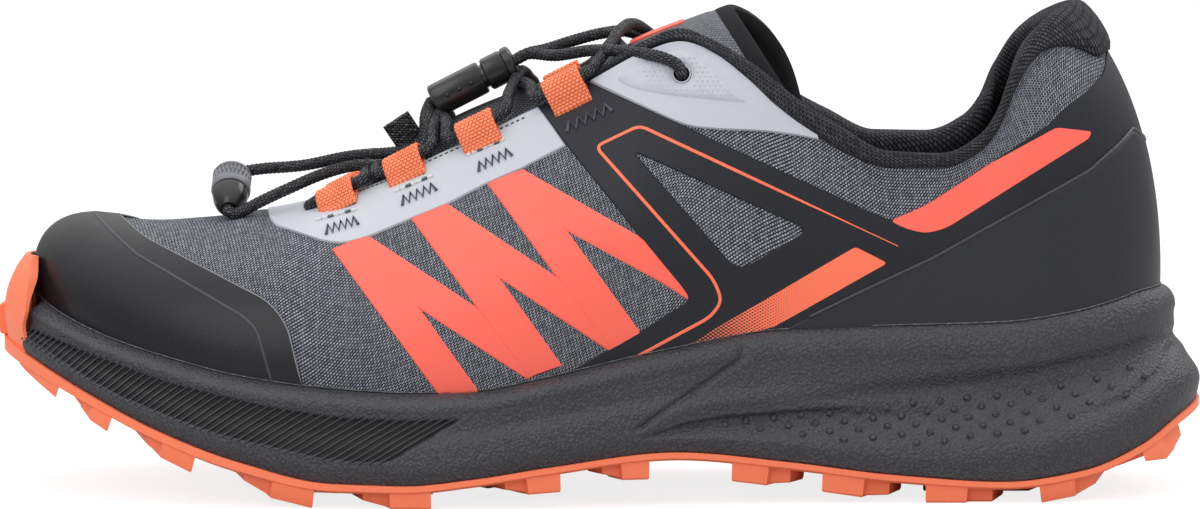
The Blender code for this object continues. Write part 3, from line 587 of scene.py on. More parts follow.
# a line with points added so that no step is longer than one given
def stepped(spots, step, closed=True):
    line = []
    for a, b in zip(spots, np.roll(spots, -1, axis=0) if closed else spots[1:]):
        parts = max(1, int(math.ceil(np.linalg.norm(b - a) / step)))
        line += [a + (b - a) * k / parts for k in range(parts)]
    return np.array(line if closed else line + [spots[-1]])


cornerRound = {"steps": 7, "most": 0.45}  # points of a rounded corner, share of a side that it takes


# corners given as x, y and radius, rounded and stepped, in pixels
def roundOutline(corners, step, closed):
    corners = [tuple(c) + (0.0,) * (3 - len(c)) for c in corners]
    spots = []
    count = len(corners)
    for i, (x, y, radius) in enumerate(corners):
        here = np.array((x, y))
        if radius <= 0.0 or (not closed and i in (0, count - 1)):
            spots.append(here)
            continue
        back = np.array(corners[i - 1][:2]) - here
        ahead = np.array(corners[(i + 1) % count][:2]) - here
        reach = min(radius, *(cornerRound["most"] * np.linalg.norm(way) for way in (back, ahead)))
        a, b = here + reach * unit(back), here + reach * unit(ahead)
        t = np.linspace(0.0, 1.0, cornerRound["steps"])[:, None]
        spots += [*((1 - t) ** 2 * a + 2 * t * (1 - t) * here + t * t * b)]
    return stepped(np.array(spots), step, closed)


# a surface's lateral side as a fine net, to find what lies under a pixel
def makeNet(surface, *spans):
    (places, placeStep), (heights, heightStep) = (np.linspace(*span, retstep=True) for span in spans)
    points = surface(places[:, None], heights[None, :])
    faces, corners = gridFaces(len(places), len(heights))
    tree = BVHTree.FromPolygons(points.reshape(-1, 3).tolist(), faces)
    first, step = np.array((places[0], heights[0])), np.array((placeStep, heightStep))
    return {"points": points, "corners": corners, "tree": tree, "first": first, "step": step}


# place and height share under each pixel
def traced(pixels, net):
    found = []
    tree, points = net["tree"], net["points"]
    for pixel in pixels:
        ray = pixelRay(pixel)
        spot, _, face, _ = tree.ray_cast(Vector(eyePoint), Vector(ray))
        if spot is None:  # beside the outline, so the nearest point counts
            depths = np.arange(*photo["searched"])
            nearest = [tree.find_nearest(Vector(eyePoint + depth * ray)) for depth in depths]
            spot, _, face, _ = min(nearest, key=lambda hit: hit[3])
        j, k = net["corners"][face][0]
        edges = np.stack([points[j + 1, k] - points[j, k], points[j, k + 1] - points[j, k]], -1)
        share, _, _, _ = np.linalg.lstsq(edges, np.array(spot) - points[j, k], rcond=None)
        found.append(net["first"] + net["step"] * ((j, k) + np.clip(share, 0.0, 1.0)))
    return np.array(found)


upperNet = makeNet(upperAt, (0.0, 1.0, 481), (0.0, 1.0, 141))
print("last worked out")


# spots of the upper along a line or round an outline drawn in the photograph
def upperLine(corners, step=4.0):
    return traced(roundOutline(corners, step, False), upperNet)


def upperOutline(corners, step=4.0):
    return traced(roundOutline(corners, step, True), upperNet)


# looks: small helpers and shared node groups
def colour(red, green, blue):
    parts = (red, green, blue)
    return (*(((c / 255.0 + 0.055) / 1.055) ** 2.4 if c > 10 else c / 3294.6 for c in parts), 1.0)


def addNode(tree, kind, values=None, **settings):
    node = tree.nodes.new(kind)
    for key, value in settings.items():
        setattr(node, key, value)
    for key, value in (values or {}).items():
        if hasattr(value, "is_linked"):
            tree.links.new(value, node.inputs[key])
        else:
            node.inputs[key].default_value = value
    return node


def feed(tree, sockets, **sources):
    for key, source in sources.items():
        tree.links.new(source, sockets[key.replace("_", " ")])


def calc(tree, operation, a, b=0.0, clamp=False):
    return addNode(tree, "ShaderNodeMath", {0: a, 1: b}, operation=operation, use_clamp=clamp).outputs[0]


# a value times a factor, and something added to it
def calcLine(tree, value, factor, added, clamp=False):
    return calc(tree, "ADD", added, calc(tree, "MULTIPLY", value, factor), clamp)


# how far a value lies from the middle of its step of a pitch
def calcPitch(tree, value, pitch):
    share = calc(tree, "FRACT", calc(tree, "DIVIDE", value, pitch))
    return calc(tree, "ABSOLUTE", calc(tree, "SUBTRACT", share, 0.5))


def blendColours(tree, share, a, b):
    return addNode(tree, "ShaderNodeMix", {0: share, 6: a, 7: b}, data_type="RGBA").outputs[2]


def flatMap(tree):
    return addNode(tree, "ShaderNodeUVMap", uv_map="flatMap").outputs[0]


def turnedMap(tree, flat, angle):
    sockets = {"Vector": flat, "Angle": angle}
    return addNode(tree, "ShaderNodeVectorRotate", sockets, rotation_type="Z_AXIS").outputs[0]


def splitMap(tree, flat):
    return addNode(tree, "ShaderNodeSeparateXYZ", {0: flat}).outputs


def newGroup(name, inputs, outputs):
    group = bpy.data.node_groups.new(name, "ShaderNodeTree")
    for label, value in inputs.items():
        socket = group.interface.new_socket(name=label, in_out="INPUT", socket_type="NodeSocketFloat")
        socket.default_value = value
    for label in outputs:
        group.interface.new_socket(name=label, in_out="OUTPUT", socket_type="NodeSocketFloat")
    return group, group.nodes.new("NodeGroupInput").outputs, group.nodes.new("NodeGroupOutput").inputs


# noise with a feature size in millimetres
def sizedNoise(group, size, detail):
    spot = addNode(group, "ShaderNodeTexCoord").outputs["Object"]
    scale = calc(group, "DIVIDE", 1.0 / mm, size)
    sockets = {"Vector": spot, "Scale": scale, "Detail": detail}
    return addNode(group, "ShaderNodeTexNoise", sockets).outputs[0]


# fine pebbled skin of foam, rubber and film
def buildGrain():
    group, inside, outside = newGroup(
        "pebbleGrain", {"Size": 0.6, "Cloud": 12.0}, ("Height", "Fleck", "Tone")
    )
    cells = addNode(group, "ShaderNodeTexVoronoi", {
        "Vector": addNode(group, "ShaderNodeTexCoord").outputs["Object"],
        "Scale": calc(group, "DIVIDE", 1.0 / mm, inside["Size"]),
        "Smoothness": 0.6,
    }, feature="SMOOTH_F1")
    pebble = calc(group, "MULTIPLY", calc(group, "SUBTRACT", 1.0, cells.outputs["Distance"]), 0.6)
    mixed = calcLine(group, sizedNoise(group, inside["Size"], 3.0), 0.4, pebble)
    fleck = calc(group, "MULTIPLY", calc(group, "SUBTRACT", mixed, 0.48), 3.2, True)
    feed(group, outside, Height=mixed, Fleck=fleck, Tone=sizedNoise(group, inside["Cloud"], 4.0))
    return group


# threads laid like bricks along the flat map, with heavier lines at a wider pitch
def buildWeave():
    values = {"Long": 1.2, "Short": 0.6, "Turn": 0.0, "Line Pitch": 6.0, "Line Width": -1.0}
    group, inside, outside = newGroup("threadWeave", values, ("Height", "Gap", "Thread", "Line"))
    flat = flatMap(group)
    bricks = addNode(group, "ShaderNodeTexBrick", {
        "Vector": turnedMap(group, flat, inside["Turn"]),
        "Color1": (0.0, 0.0, 0.0, 1.0),
        "Color2": (1.0, 1.0, 1.0, 1.0),
        "Mortar": (0.5, 0.5, 0.5, 1.0),
        "Scale": 1.0,
        "Mortar Size": 0.155,
        "Mortar Smooth": 0.65,
        "Brick Width": inside["Long"],
        "Row Height": inside["Short"],
    }).outputs
    parts = splitMap(group, flat)
    near = [calcPitch(group, parts[axis], inside["Line Pitch"]) for axis in ("X", "Y")]
    lines = calc(group, "LESS_THAN", calc(group, "MINIMUM", *near), inside["Line Width"])
    height = calcLine(group, lines, 0.25, calc(group, "SUBTRACT", 1.0, bricks["Fac"]))
    feed(group, outside, Height=height, Gap=bricks["Fac"], Thread=bricks["Color"], Line=lines)
    return group


# slow change of tone and gloss that handling leaves
def buildCloud():
    group, inside, outside = newGroup("toneCloud", {"Size": 20.0, "Low": 0.9, "High": 1.1}, ("Tone",))
    span = calc(group, "SUBTRACT", inside["High"], inside["Low"])
    feed(group, outside, Tone=calcLine(group, sizedNoise(group, inside["Size"], 5.0), span, inside["Low"]))
    return group


grainGroup, weaveGroup, cloudGroup = buildGrain(), buildWeave(), buildCloud()


def useGroup(tree, group, **values):
    node = tree.nodes.new("ShaderNodeGroup")
    node.node_tree = group
    for key, value in values.items():
        node.inputs[key.replace("_", " ")].default_value = value
    return node.outputs


def newLook(name, rough, **sockets):
    look = bpy.data.materials.new(name)
    look.use_nodes = True
    inputs = look.node_tree.nodes["Principled BSDF"].inputs
    for key, value in {"Roughness": rough, **sockets}.items():
        inputs[key.replace("_", " ")].default_value = value
    return look, look.node_tree, inputs


def bumpOf(tree, height, depth):
    sockets = {"Height": height, "Strength": 1.0, "Distance": depth * mm}
    return addNode(tree, "ShaderNodeBump", sockets).outputs[0]


# moulded or film surface: pebble grain, cloudy tone, slightly uneven gloss
def mouldedLook(name, tint, rough, size, depth, vary=0.12, cloud=18.0, specular=0.5, coat=(0.0, 0.03)):
    look, tree, sockets = newLook(
        name, rough, Specular_IOR_Level=specular, Coat_Weight=coat[0], Coat_Roughness=coat[1]
    )
    grain = useGroup(tree, grainGroup, Size=size, Cloud=cloud)
    dark, light = (
        tuple(min(1.0, c * (1.0 + change)) for c in colour(*tint)[:3]) + (1.0,) for change in (-vary, vary)
    )
    share = calcLine(tree, grain["Fleck"], 0.6, calc(tree, "MULTIPLY", grain["Tone"], 0.4), True)
    feed(
        tree, sockets, Base_Color=blendColours(tree, share, dark, light),
        Roughness=calcLine(tree, grain["Tone"], 0.16, rough - 0.08),
        Normal=bumpOf(tree, grain["Height"], depth),
    )
    return look


# woven surface: light threads over a dark ground, some with heavier lines
def wovenLook(name, ground, light, rough, depth, even, weave, lines=None, lineTint=None):
    look, tree, sockets = newLook(name, rough, Specular_IOR_Level=0.25)
    values = dict(zip(("Long", "Short", "Turn", "Line_Pitch", "Line_Width"), weave + (lines or ())))
    weave = useGroup(tree, weaveGroup, **values)
    cloud = useGroup(tree, cloudGroup, Size=14.0, Low=0.85, High=1.15)
    cover = calc(tree, "SUBTRACT", 1.0, weave["Gap"])
    thread = calc(tree, "MULTIPLY", cover, calcLine(tree, weave["Thread"], 1.0 - even, even))
    shade = calc(tree, "MULTIPLY", thread, cloud["Tone"], True)
    base = blendColours(tree, shade, colour(*ground), colour(*light))
    if lines:
        base = blendColours(tree, calc(tree, "MULTIPLY", weave["Line"], 0.12), base, colour(*lineTint))
    feed(tree, sockets, Base_Color=base, Normal=bumpOf(tree, weave["Height"], depth))
    return look


# print that breaks up into dots towards its low front end, along the film's own map
halftone = {"from": 177.0, "to": 204.0, "pitch": 0.62, "least": 0.12, "growth": 0.92}


def printLook(name, ink, ground):
    look, tree, sockets = newLook(name, 0.5)
    flat = flatMap(tree)
    parts = splitMap(tree, turnedMap(tree, flat, math.pi / 4))
    reach = calc(tree, "SUBTRACT", calc(tree, "ABSOLUTE", splitMap(tree, flat)["X"]), halftone["from"])
    full = calc(tree, "DIVIDE", reach, halftone["to"] - halftone["from"], True)
    spread = calc(tree, "ADD", *(calcPitch(tree, parts[axis], halftone["pitch"]) for axis in ("X", "Y")))
    dots = calc(tree, "LESS_THAN", spread, calcLine(tree, full, halftone["growth"], halftone["least"]))
    feed(tree, sockets, Base_Color=blendColours(tree, dots, colour(*ground), colour(*ink)))
    return look


# name, colour, roughness, grain size, bump depth, spread of tone, cloud size, specular, coat
moulded = {
    "outsole": ("outsoleRubber", (255, 128, 88), 0.5, 0.5, 0.05, 0.05),
    "midsole": ("midsoleFoam", (60, 61, 67), 0.5, 0.72, 0.5, 0.6, 26.0),
    # near black for the rib band's recess: painted shade
    "groove": ("midsoleGroove", (24, 24, 27), 0.7, 0.5, 0.06, 0.12),
    "midsoleRib": ("midsoleRibs", (64, 65, 70), 0.5, 0.5, 0.06, 0.12),
    "film": ("blackFilm", (37, 38, 44), 0.42, 0.45, 0.06, 0.14, 30.0, 0.24),
    "counter": ("counterFilm", (45, 46, 52), 0.42, 0.45, 0.06, 0.14, 30.0, 0.26),
    "cap": ("toeCapFilm", (24, 24, 29), 0.40, 0.45, 0.06, 0.14, 30.0, 0.26, (0.14, 0.24)),
    # lighter grey of the raised lines on toe cap and heel counter: painted highlight
    "ridge": ("filmRidge", (54, 55, 61), 0.42, 0.45, 0.06, 0.14, 30.0),
    # pale grey tube along the toe cap's cut edge: painted highlight of the edge
    "cutEdge": ("paleCutEdge", (128, 130, 136), 0.7, 0.4, 0.02),
    "coral": ("coralFilm", (255, 104, 86), 0.5, 0.3, 0.015, 0.03),
    "line": ("orangeLine", (255, 118, 84), 0.5, 0.3, 0.015, 0.03),
    "paleFilm": ("paleGreyFilm", (188, 191, 199), 0.46, 0.4, 0.02, 0.04),
    "plastic": ("lockPlastic", (24, 24, 26), 0.24, 0.5, 0.01, 0.1),
    "beadGrey": ("beadPlastic", (118, 120, 126), 0.42, 0.5, 0.02, 0.08),
    "thread": ("sewingThread", (84, 84, 98), 0.7, 0.3, 0.03),
    "darkThread": ("darkThread", (40, 40, 44), 0.6, 0.3, 0.03),
    "paleThread": ("paleThread", (205, 206, 208), 0.6, 0.3, 0.03),
    "glue": ("featherGlue", (96, 96, 98), 0.5, 1.2, 0.1, 0.75, 2.5),
    "felt": ("tongueFelt", (38, 38, 41), 0.9, 0.5, 0.1, 0.25, 18.0, 0.2),
}
# name, ground, thread, roughness, bump depth, evenness of the threads, their length, width and turn, lines
woven = {
    "mesh": ("ripstopMesh", (9, 10, 12), (166, 169, 181), 0.75, 0.45, 0.48, (0.98, 0.58, -0.9), (3.5, 0.05),
             (188, 191, 201)),
    "tongueMesh": ("tongueMesh", (26, 27, 30), (120, 123, 131), 0.85, 0.25, 0.7, (0.95, 0.6, 0.5)),
    "tonguePad": ("tonguePadCloth", (92, 94, 100), (136, 138, 146), 0.85, 0.12, 0.35, (0.8, 0.6, 0.3)),
    "binding": ("blackBinding", (6, 6, 8), (72, 73, 79), 0.85, 0.5, 0.42, (1.5, 0.85, 0.7)),
    "lining": ("ribbedLining", (5, 5, 7), (46, 47, 52), 0.9, 0.6, 0.6, (2.4, 1.1, 0.5)),
    "cord": ("braidedCord", (2, 2, 3), (92, 92, 98), 0.45, 0.45, 0.3, (1.1, 0.62, 0.6)),
    "webbing": ("orangeWebbing", (240, 94, 54), (255, 158, 118), 0.75, 0.25, 0.8, (1.1, 0.8, 1.5708)),
    "insole": ("insoleCloth", (24, 24, 26), (60, 61, 65), 0.9, 0.15, 0.35, (1.2, 1.0, 0.4)),
}
looks = {key: mouldedLook(*row) for key, row in moulded.items()}
looks.update({key: wovenLook(*row) for key, row in woven.items()})
looks["orange"] = printLook("orangePrint", (255, 118, 84), (36, 36, 40))
print("looks made:", len(looks))


# places round the whole loop: toe, lateral side, heel, medial side
def loopOf(half):
    lateral = np.linspace(0.0, 1.0, half + 1)
    return np.concatenate([lateral, -lateral[-2:0:-1]])


# faces across a loop, from each lateral place to its medial one
def ladder(half, start):
    end = start + 2 * half
    faces = [(start + j, start + j + 1, end - j - 1, end - j) for j in range(1, half - 1)]
    return [(start, start + 1, end - 1)] + faces + [(start + half - 1, start + half, start + half + 1)]


# a solid from loops stacked on each other, closed across at both ends
def ringSolid(rings, half):
    faces, _ = gridFaces(len(rings), 2 * half, False, True)
    return np.concatenate(rings), faces + ladder(half, 0) + ladder(half, 2 * half * (len(rings) - 1))


# outsole: base, toe flap and lugs, the outer lugs with a part set back as in the photograph
outsole = {
    "half": 220, "edgeInset": 0.2, "bottomInset": 1.2, "edgeRise": 0.6,
    "toeLift": (0.5, -30.0, -100.0),
    "flapRows": (("share", "inset"), (0.0, 1.6), (0.35, 0.1), (0.6, 0.9), (0.85, 3.2), (1.0, 5.6)),
    "flapReach": (
        ("share", "reach"),
        (0.0, 0.116), (0.15, 0.104), (0.35, 0.098), (0.5, 0.102), (0.75, 0.095), (1.0, 0.07),
    ),
    "flapTop": 57.5, "flapBack": 5.2, "flapThin": 0.7, "flapCount": 72, "flapUp": 30,
    "nose": (0.03, 37.6, 45.0, -1.0, 2.5),
    "lugRoot": 1.0, "lugDraft": 0.4, "lugChamfer": 0.4, "lugInset": 0.7, "lugDrop": 4.3,
    "setBack": 2.4, "lugLean": 0.8,
    "tipParts": ((0.0, 0.34, 2.7, 3.2, 1.0), (0.30, 1.0, 4.2, 4.2, 0.0)),
    "tipUntil": -90.0,
    "toeParts": ((0.0, 0.44, 1.9, 3.5, 1.0), (0.40, 1.0, 3.7, 4.3, 0.0)),
    "heelParts": ((0.0, 0.62, 4.3, 4.3, 0.0), (0.58, 1.0, 4.2, 3.3, 1.0)),
    "heelFrom": 20.0, "medialShift": -5.0,
    "lugFade": (
        (-138.0, 0.34), (-122.0, 0.68), (-102.0, 0.75), (-80.0, 1.0), (112.0, 1.0), (126.0, 0.5),
        (132.5, 0.42), (137.5, 1.0),
    ),
    "edgeLugs": (
        (-142, -132.5, 10, 3), (-125.5, -118.5, 13, 4), (-109, -97.5, 16, 5),
        (-85.5, -68.5, 18, 5), (-57, -40.5, 19, 5), (-23, -9.5, 16, 5),
        (0.5, 12, 13, 4), (32, 46.5, 13, -4), (54, 70.5, 15, -4),
        (79, 95.5, 16, -4), (106.5, 120.5, 15, -4), (132.5, 140, 9, -3),
    ),
    "chevrons": (
        (-134, 14, 7, -5), (-117, 17, 8, -6), (-96, 21, 9, -7),
        (-73, 23, 9, -8), (-50, 22, 9, -8), (-28, 18, 8, -7),
        (62, 13, 8, 6), (80, 14, 8, 6), (98, 15, 8, 6),
        (127, 17, 7, 4),
    ),
    "flapClear": 2.2, "flapEdge": 0.9,
    "noseBevel": (0.4, 0.6),
    "noseSteps": 7, "lugShoulder": 0.9, "shiftWithin": 125.0, "seamHalf": 0.1, "topInset": 3.0,
}


def edgeY(x, side, inset):
    return float(outlineEdge(-side * placeAt(x))[1]) - side * inset


def addLug(bundle, plan, drops):
    plan = np.asarray(plan, float)
    station = stationAt(plan[:, 0])
    ground = soleValue("ground", station)
    inward = unit(plan.mean(0) - plan)
    fade = np.interp(plan[:, 0], *np.array(outsole["lugFade"]).T)
    foot = np.maximum(0.0, ground - fade * np.asarray(drops))
    step = last["step"]
    rise = soleValue("ground", station + step) - soleValue("ground", station - step)
    lean = stacked(outsole["lugLean"] * rise / (2 * step * last["length"]) * (ground - foot), 0.0)
    draft, chamfer = outsole["lugDraft"], outsole["lugChamfer"]
    rows = (
        (0.0, 0.0, ground + outsole["lugRoot"]),
        (draft, outsole["lugShoulder"], foot + chamfer),
        (draft + chamfer, 1.0, foot),
    )
    rings = [np.column_stack([plan + inset * inward + share * lean, z]) for inset, share, z in rows]
    bundle.add(*turnedSolid(np.stack(rings)))


def addFlap(bundle):
    share = np.linspace(0.0, 1.0, outsole["flapUp"] + 1)[None, :]
    reach = readTable(outsole["flapReach"], "reach", share)
    places = np.linspace(-1.0, 1.0, outsole["flapCount"] + 1)[:, None] * reach
    top, rim = outsole["flapTop"], levelAt("rim", places)
    low = levelAt("ground", places) + outsole["lugRoot"]
    z = low + (top - low) * share
    inset = readTable(outsole["flapRows"], "inset", share)
    wall = upperAt(places, heightAt(places, z), outsole["flapClear"])
    wall[..., 2] = z
    blend = smoothStep(0.0, 1.0, (z - rim) / (top - rim))[..., None]
    thin = smoothStep(outsole["flapThin"], 1.0, np.abs(places) / reach)[..., None]
    back = outlineAt(places, outsole["flapBack"], z) * (1.0 - thin)
    back = back + outlineAt(places, inset + outsole["flapEdge"], z) * thin
    points, faces, _ = twoSkins(outlineAt(places, inset, z), back * (1.0 - blend) + wall * blend)
    bundle.add(points, faces)


# the block on the front of the flap
def addNose(bundle):
    reach, low, high, out, back = outsole["nose"]
    bevelIn, bevelUp = outsole["noseBevel"]
    across = np.linspace(-reach, reach, outsole["noseSteps"])
    section = (
        (back, low), (out + bevelIn, low), (out, low + bevelUp),
        (out, high - bevelUp), (out + bevelIn, high), (back, high),
    )
    bundle.add(*turnedSolid(np.stack([outlineAt(across, inset, z) for inset, z in section], 1)))


def addEdgeLug(bundle, front, back, depth, slant, side):
    parts = outsole["heelParts" if front > outsole["heelFrom"] else "toeParts"]
    parts = outsole["tipParts"] if front < outsole["tipUntil"] else parts
    shift = outsole["medialShift"] if side > 0.0 and abs(front) < outsole["shiftWithin"] else 0.0
    for start, end, frontDrop, backDrop, away in parts:
        a, b = (front + shift + share * (back - front) for share in (start, end))
        inset = outsole["lugInset"] + away * outsole["setBack"]
        corners = ((a, 0.0, 0.0), (b, 0.0, 0.0), (b, slant, depth), (a, slant, depth))
        plan = [(x - behind, edgeY(x, side, inset + deep)) for x, behind, deep in corners]
        addLug(bundle, plan, (frontDrop, backDrop, backDrop, frontDrop))


def addChevron(bundle, front, span, thick, point, side):
    middle = float(soleValue("centre", stationAt(front)))
    outer = middle + side * span
    far = front + thick
    plan = [(front, outer), (front + point, middle), (far + point, middle), (far, outer)]
    addLug(bundle, plan, outsole["lugDrop"])


def makeOutsole():
    places = loopOf(outsole["half"])
    ground, seam = levelAt("ground", places), levelAt("seam", places)
    edge = outsole["edgeInset"]
    most, start, end = outsole["toeLift"]
    seam = seam + most * smoothStep(start, end, outlineEdge(places)[:, 0])
    levels = (
        (outsole["bottomInset"], ground),
        (edge, ground + outsole["edgeRise"]),
        (edge, seam - outsole["seamHalf"]),
        (edge + outsole["topInset"], seam + outsole["seamHalf"]),
    )
    bundle = Bundle()
    bundle.add(*ringSolid([outlineAt(places, inset, z) for inset, z in levels], outsole["half"]))
    addFlap(bundle)
    addNose(bundle)
    for row in outsole["edgeLugs"]:
        for side in (-1.0, 1.0):
            addEdgeLug(bundle, *row, side)
    for row in outsole["chevrons"]:
        for side in (-1.0, 1.0):
            addChevron(bundle, *row, side)
    bundle.make("outsoleTread", "outsole_rubber", ["outsole"], sharp=35.0, nodes=["outsole"])


makeOutsole()
print("outsole made")

# midsole: wall rows by share of height, with rib band, creases, scoop and dots in photo pixels
midsole = {
    "rows": (
        ("share", "forefoot", "heel"),
        (0.00, 1.2, 0.8), (0.20, 0.2, 0.0), (0.42, 0.8, 2.4), (0.60, 2.4, 6.2), (0.74, 2.5, 6.6),
        (0.90, 2.2, 5.9), (1.00, 3.3, 7.0),
    ),
    "flare": (0.50, 0.95),
    "recess": (5.6, 0.099, 0.070),
    "half": 620, "wallRows": 50, "rollFrom": 0.82, "rollRows": 9,
    "ribUpper": (
        (22, 324), (50, 336), (87, 352), (130, 368), (169, 382), (217, 394), (273, 407), (340, 417),
        (406, 420), (465, 418),
    ),
    "ribLower": (
        (24, 338), (42, 349), (66, 365), (93, 382), (122, 398), (154, 411), (190, 425), (233, 439),
        (282, 450), (323, 459), (356, 463), (391, 463),
    ),
    "ribStep": (4.2, 0.0165, 54),
    "ribLean": ((24, 43), (100, 39), (160, 35.5), (300, 31), (400, 31)),
    "ribDeep": 0.8, "ribWide": 0.42,
    "crease": ((640, 429), (674, 405), (703, 386), (739, 361), (766, 343)),
    "creaseSize": (2.6, 1.0),
    "shoulder": (
        (632, 441), (666, 416), (710, 399), (780, 390), (838, 383), (885, 376), (952, 369), (1010, 363),
        (1048, 358), (1128, 337), (1174, 321),
    ),
    "scoopTop": (
        (632, 441), (686, 423), (725, 416), (766, 413), (800, 409), (860, 402), (930, 393), (1010, 381),
        (1090, 364), (1174, 336),
    ),
    "scoopFoot": (
        (632, 442), (674, 440), (722, 441), (775, 446), (824, 453), (872, 460), (950, 466), (1030, 458),
        (1110, 430), (1174, 380),
    ),
    "scoopDeep": ((632, 0.0), (690, 1.5), (760, 1.9), (850, 1.5), (950, 1.2), (1090, 0.9), (1174, 0.3)),
    "shoulderDeep": ((632, 0.0), (700, 0.9), (800, 1.8), (1000, 2.3), (1174, 1.2)),
    "skirt": ((1178, 347), (1162, 374), (1129, 398), (1073, 423)),
    "dots": (
        (725, 425, 1), (746, 421, 2), (774, 418, 3), (801, 415, 4), (830, 413, 4), (859, 410, 5),
        (887, 408, 5), (913, 403, 5), (940, 401, 5), (967, 398, 5), (997, 396, 4), (1028, 391, 4),
        (1061, 386, 3), (1097, 379, 3), (1130, 368, 2),
    ),
    "dotStep": (14.4, 8.2),
    "dotSize": (0.95, 0.7),
    "ribSoft": 3.0,
    "ribStart": (16.0, 24.0),
    "creaseFoot": 0.1,
    "scoopEdge": (0.10, 0.30, 760.0, 950.0),
    "scoopOut": (1.0, 0.25),
    "scoopStart": (632.0, 660.0),
    "skirtSize": (4.0, 0.7),
    "skirtStart": (1050.0, 1120.0),
    "rimClear": 0.15, "cupClear": 0.4,
    "ribTries": (0.0, 110.0, 0.5),
    "ribPast": 1.0, "ribPoints": 9,
    "ribHigh": (-0.3, 0.6),
}


def midsoleLine(name, x):
    return np.interp(x, *np.array(midsole[name], float).T)


def ribBand(x, y):
    (endX, endY), (tipX, tipY) = midsole["ribLower"][-1], midsole["ribUpper"][-1]
    lower = midsoleLine("ribLower", x)
    lower = np.where(x > endX, endY + (x - endX) * (tipY - endY) / (tipX - endX), lower)
    inside = smoothStep(0.0, midsole["ribSoft"], y - midsoleLine("ribUpper", x))
    return inside * smoothStep(0.0, midsole["ribSoft"], lower - y) * smoothStep(*midsole["ribStart"], x)


# how far the ribs, crease, scoop and heel skirt go into the wall
def midsoleCarving(pixels, share):
    x, y = pixels[..., 0], pixels[..., 1]
    deep = midsole["ribDeep"] * ribBand(x, y)
    wide, most = midsole["creaseSize"]
    creaseEnd = smoothStep(0.0, midsole["creaseFoot"], share)
    deep = deep + most * hump(lineDistance(pixels, midsole["crease"]), wide) * creaseEnd
    # under the shoulder the wall leans in, steps in further at the scoop and comes out again at its foot
    shoulder, top, foot = (midsoleLine(name, x) for name in ("shoulder", "scoopTop", "scoopFoot"))
    below = (y - shoulder) / np.maximum(1.0, top - shoulder)
    lean = midsoleLine("shoulderDeep", x) * smoothStep(0.0, 1.0, below)
    down = (y - top) / np.maximum(1.0, foot - top)
    sharp, softer, start, end = midsole["scoopEdge"]
    edge = sharp + softer * smoothStep(start, end, x)
    step = midsoleLine("scoopDeep", x) * smoothStep(0.0, 1.0, down / edge)
    shown = smoothStep(*midsole["scoopOut"], down) * smoothStep(*midsole["scoopStart"], x)
    deep = deep + (lean + step) * shown
    wide, most = midsole["skirtSize"]
    skirt = hump(lineDistance(pixels, midsole["skirt"]), wide) * smoothStep(*midsole["skirtStart"], x)
    return deep + most * skirt


def midsoleWall(place, share):
    place, share = np.broadcast_arrays(np.asarray(place, float), np.asarray(share, float))
    forefoot, heel = (readTable(midsole["rows"], name, share) for name in midsole["rows"][0][1:])
    deep, start, end = midsole["recess"]
    u = np.abs(wrapPlace(place))
    inset = forefoot + (heel - forefoot) * smoothStep(*midsole["flare"], stationOf(place))
    inset = inset + deep * smoothStep(start, end, u)
    seam, rim = levelAt("seam", place), levelAt("rim", place)
    z = seam + (rim - seam) * share
    return outlineAt(place, inset + midsoleCarving(toPixels(outlineAt(u, inset, z)), share), z)


# the wall, a rolled rim and the cup inside it; the rib band's recess takes a near-black look, painted shade
# in the recess
def makeFoam():
    half, wallRows = midsole["half"], midsole["wallRows"]
    places = loopOf(half)
    rings = [midsoleWall(places, share) for share in np.linspace(0.0, midsole["rollFrom"], wallRows)]
    rim, floor = levelAt("rim", places), levelAt("floor", places)
    contact = upperAt(places, heightAt(places, rim), midsole["rimClear"])
    edge = rings[-1]
    for turn in np.linspace(0.0, np.pi / 2, midsole["rollRows"])[1:]:
        ring = edge + (contact - edge) * (1.0 - math.cos(turn))
        ring[:, 2] = edge[:, 2] + (rim - edge[:, 2]) * math.sin(turn)
        rings.append(ring)
    middle = (rim + floor) / 2.0
    for height, level in ((heightAt(places, middle), middle), (0.0, floor)):
        ring = upperAt(places, height, midsole["cupClear"])
        ring[:, 2] = level
        rings.append(ring)
    points, faces = ringSolid(rings, half)
    middles = points[np.array(faces[: 2 * half * (wallRows - 1)])].mean(1)
    middles[:, 1] = -np.abs(middles[:, 1])
    # faces inside the forefoot rib band, given the near-black look as painted shade in the recess
    groove = (ribBand(*toPixels(middles).T) > 0.5) & (middles[:, 0] < 0.0)
    lookOf = np.zeros(len(faces), int)
    lookOf[: len(groove)] = groove
    makePiece("midsoleFoam", "midsole_foam", points, faces, ["midsole", "groove"], lookOf, nodes=["midsole"])


# points and outward ways on the wall at spots of it
def wallSpots(spots):
    return midsoleWall(spots[:, 0], spots[:, 1]), outlineOut(spots[:, 0])


def makeRibs(net):
    ribs = Bundle()
    first, growth, count = midsole["ribStep"]
    for i in range(count):
        x = midsole["ribLower"][0][0] + first / growth * (math.exp(growth * i) - 1.0)
        start, lean = np.array((x, midsoleLine("ribLower", x))), math.radians(midsoleLine("ribLean", x))
        ahead = np.array((math.cos(lean), -math.sin(lean)))
        tries = np.arange(*midsole["ribTries"])
        line = start + tries[:, None] * ahead
        far = tries[np.argmax(line[:, 1] < midsoleLine("ribUpper", line[:, 0]))]
        reach = np.linspace(-midsole["ribPast"], far + midsole["ribPast"], midsole["ribPoints"])
        for spots in eachSide(traced(start + reach[:, None] * ahead, net)):
            barStrip(ribs, *wallSpots(spots), midsole["ribWide"], *midsole["ribHigh"])
    ribs.make("midsoleRibs", "midsole_foam", ["midsoleRib"], sharp=30.0)


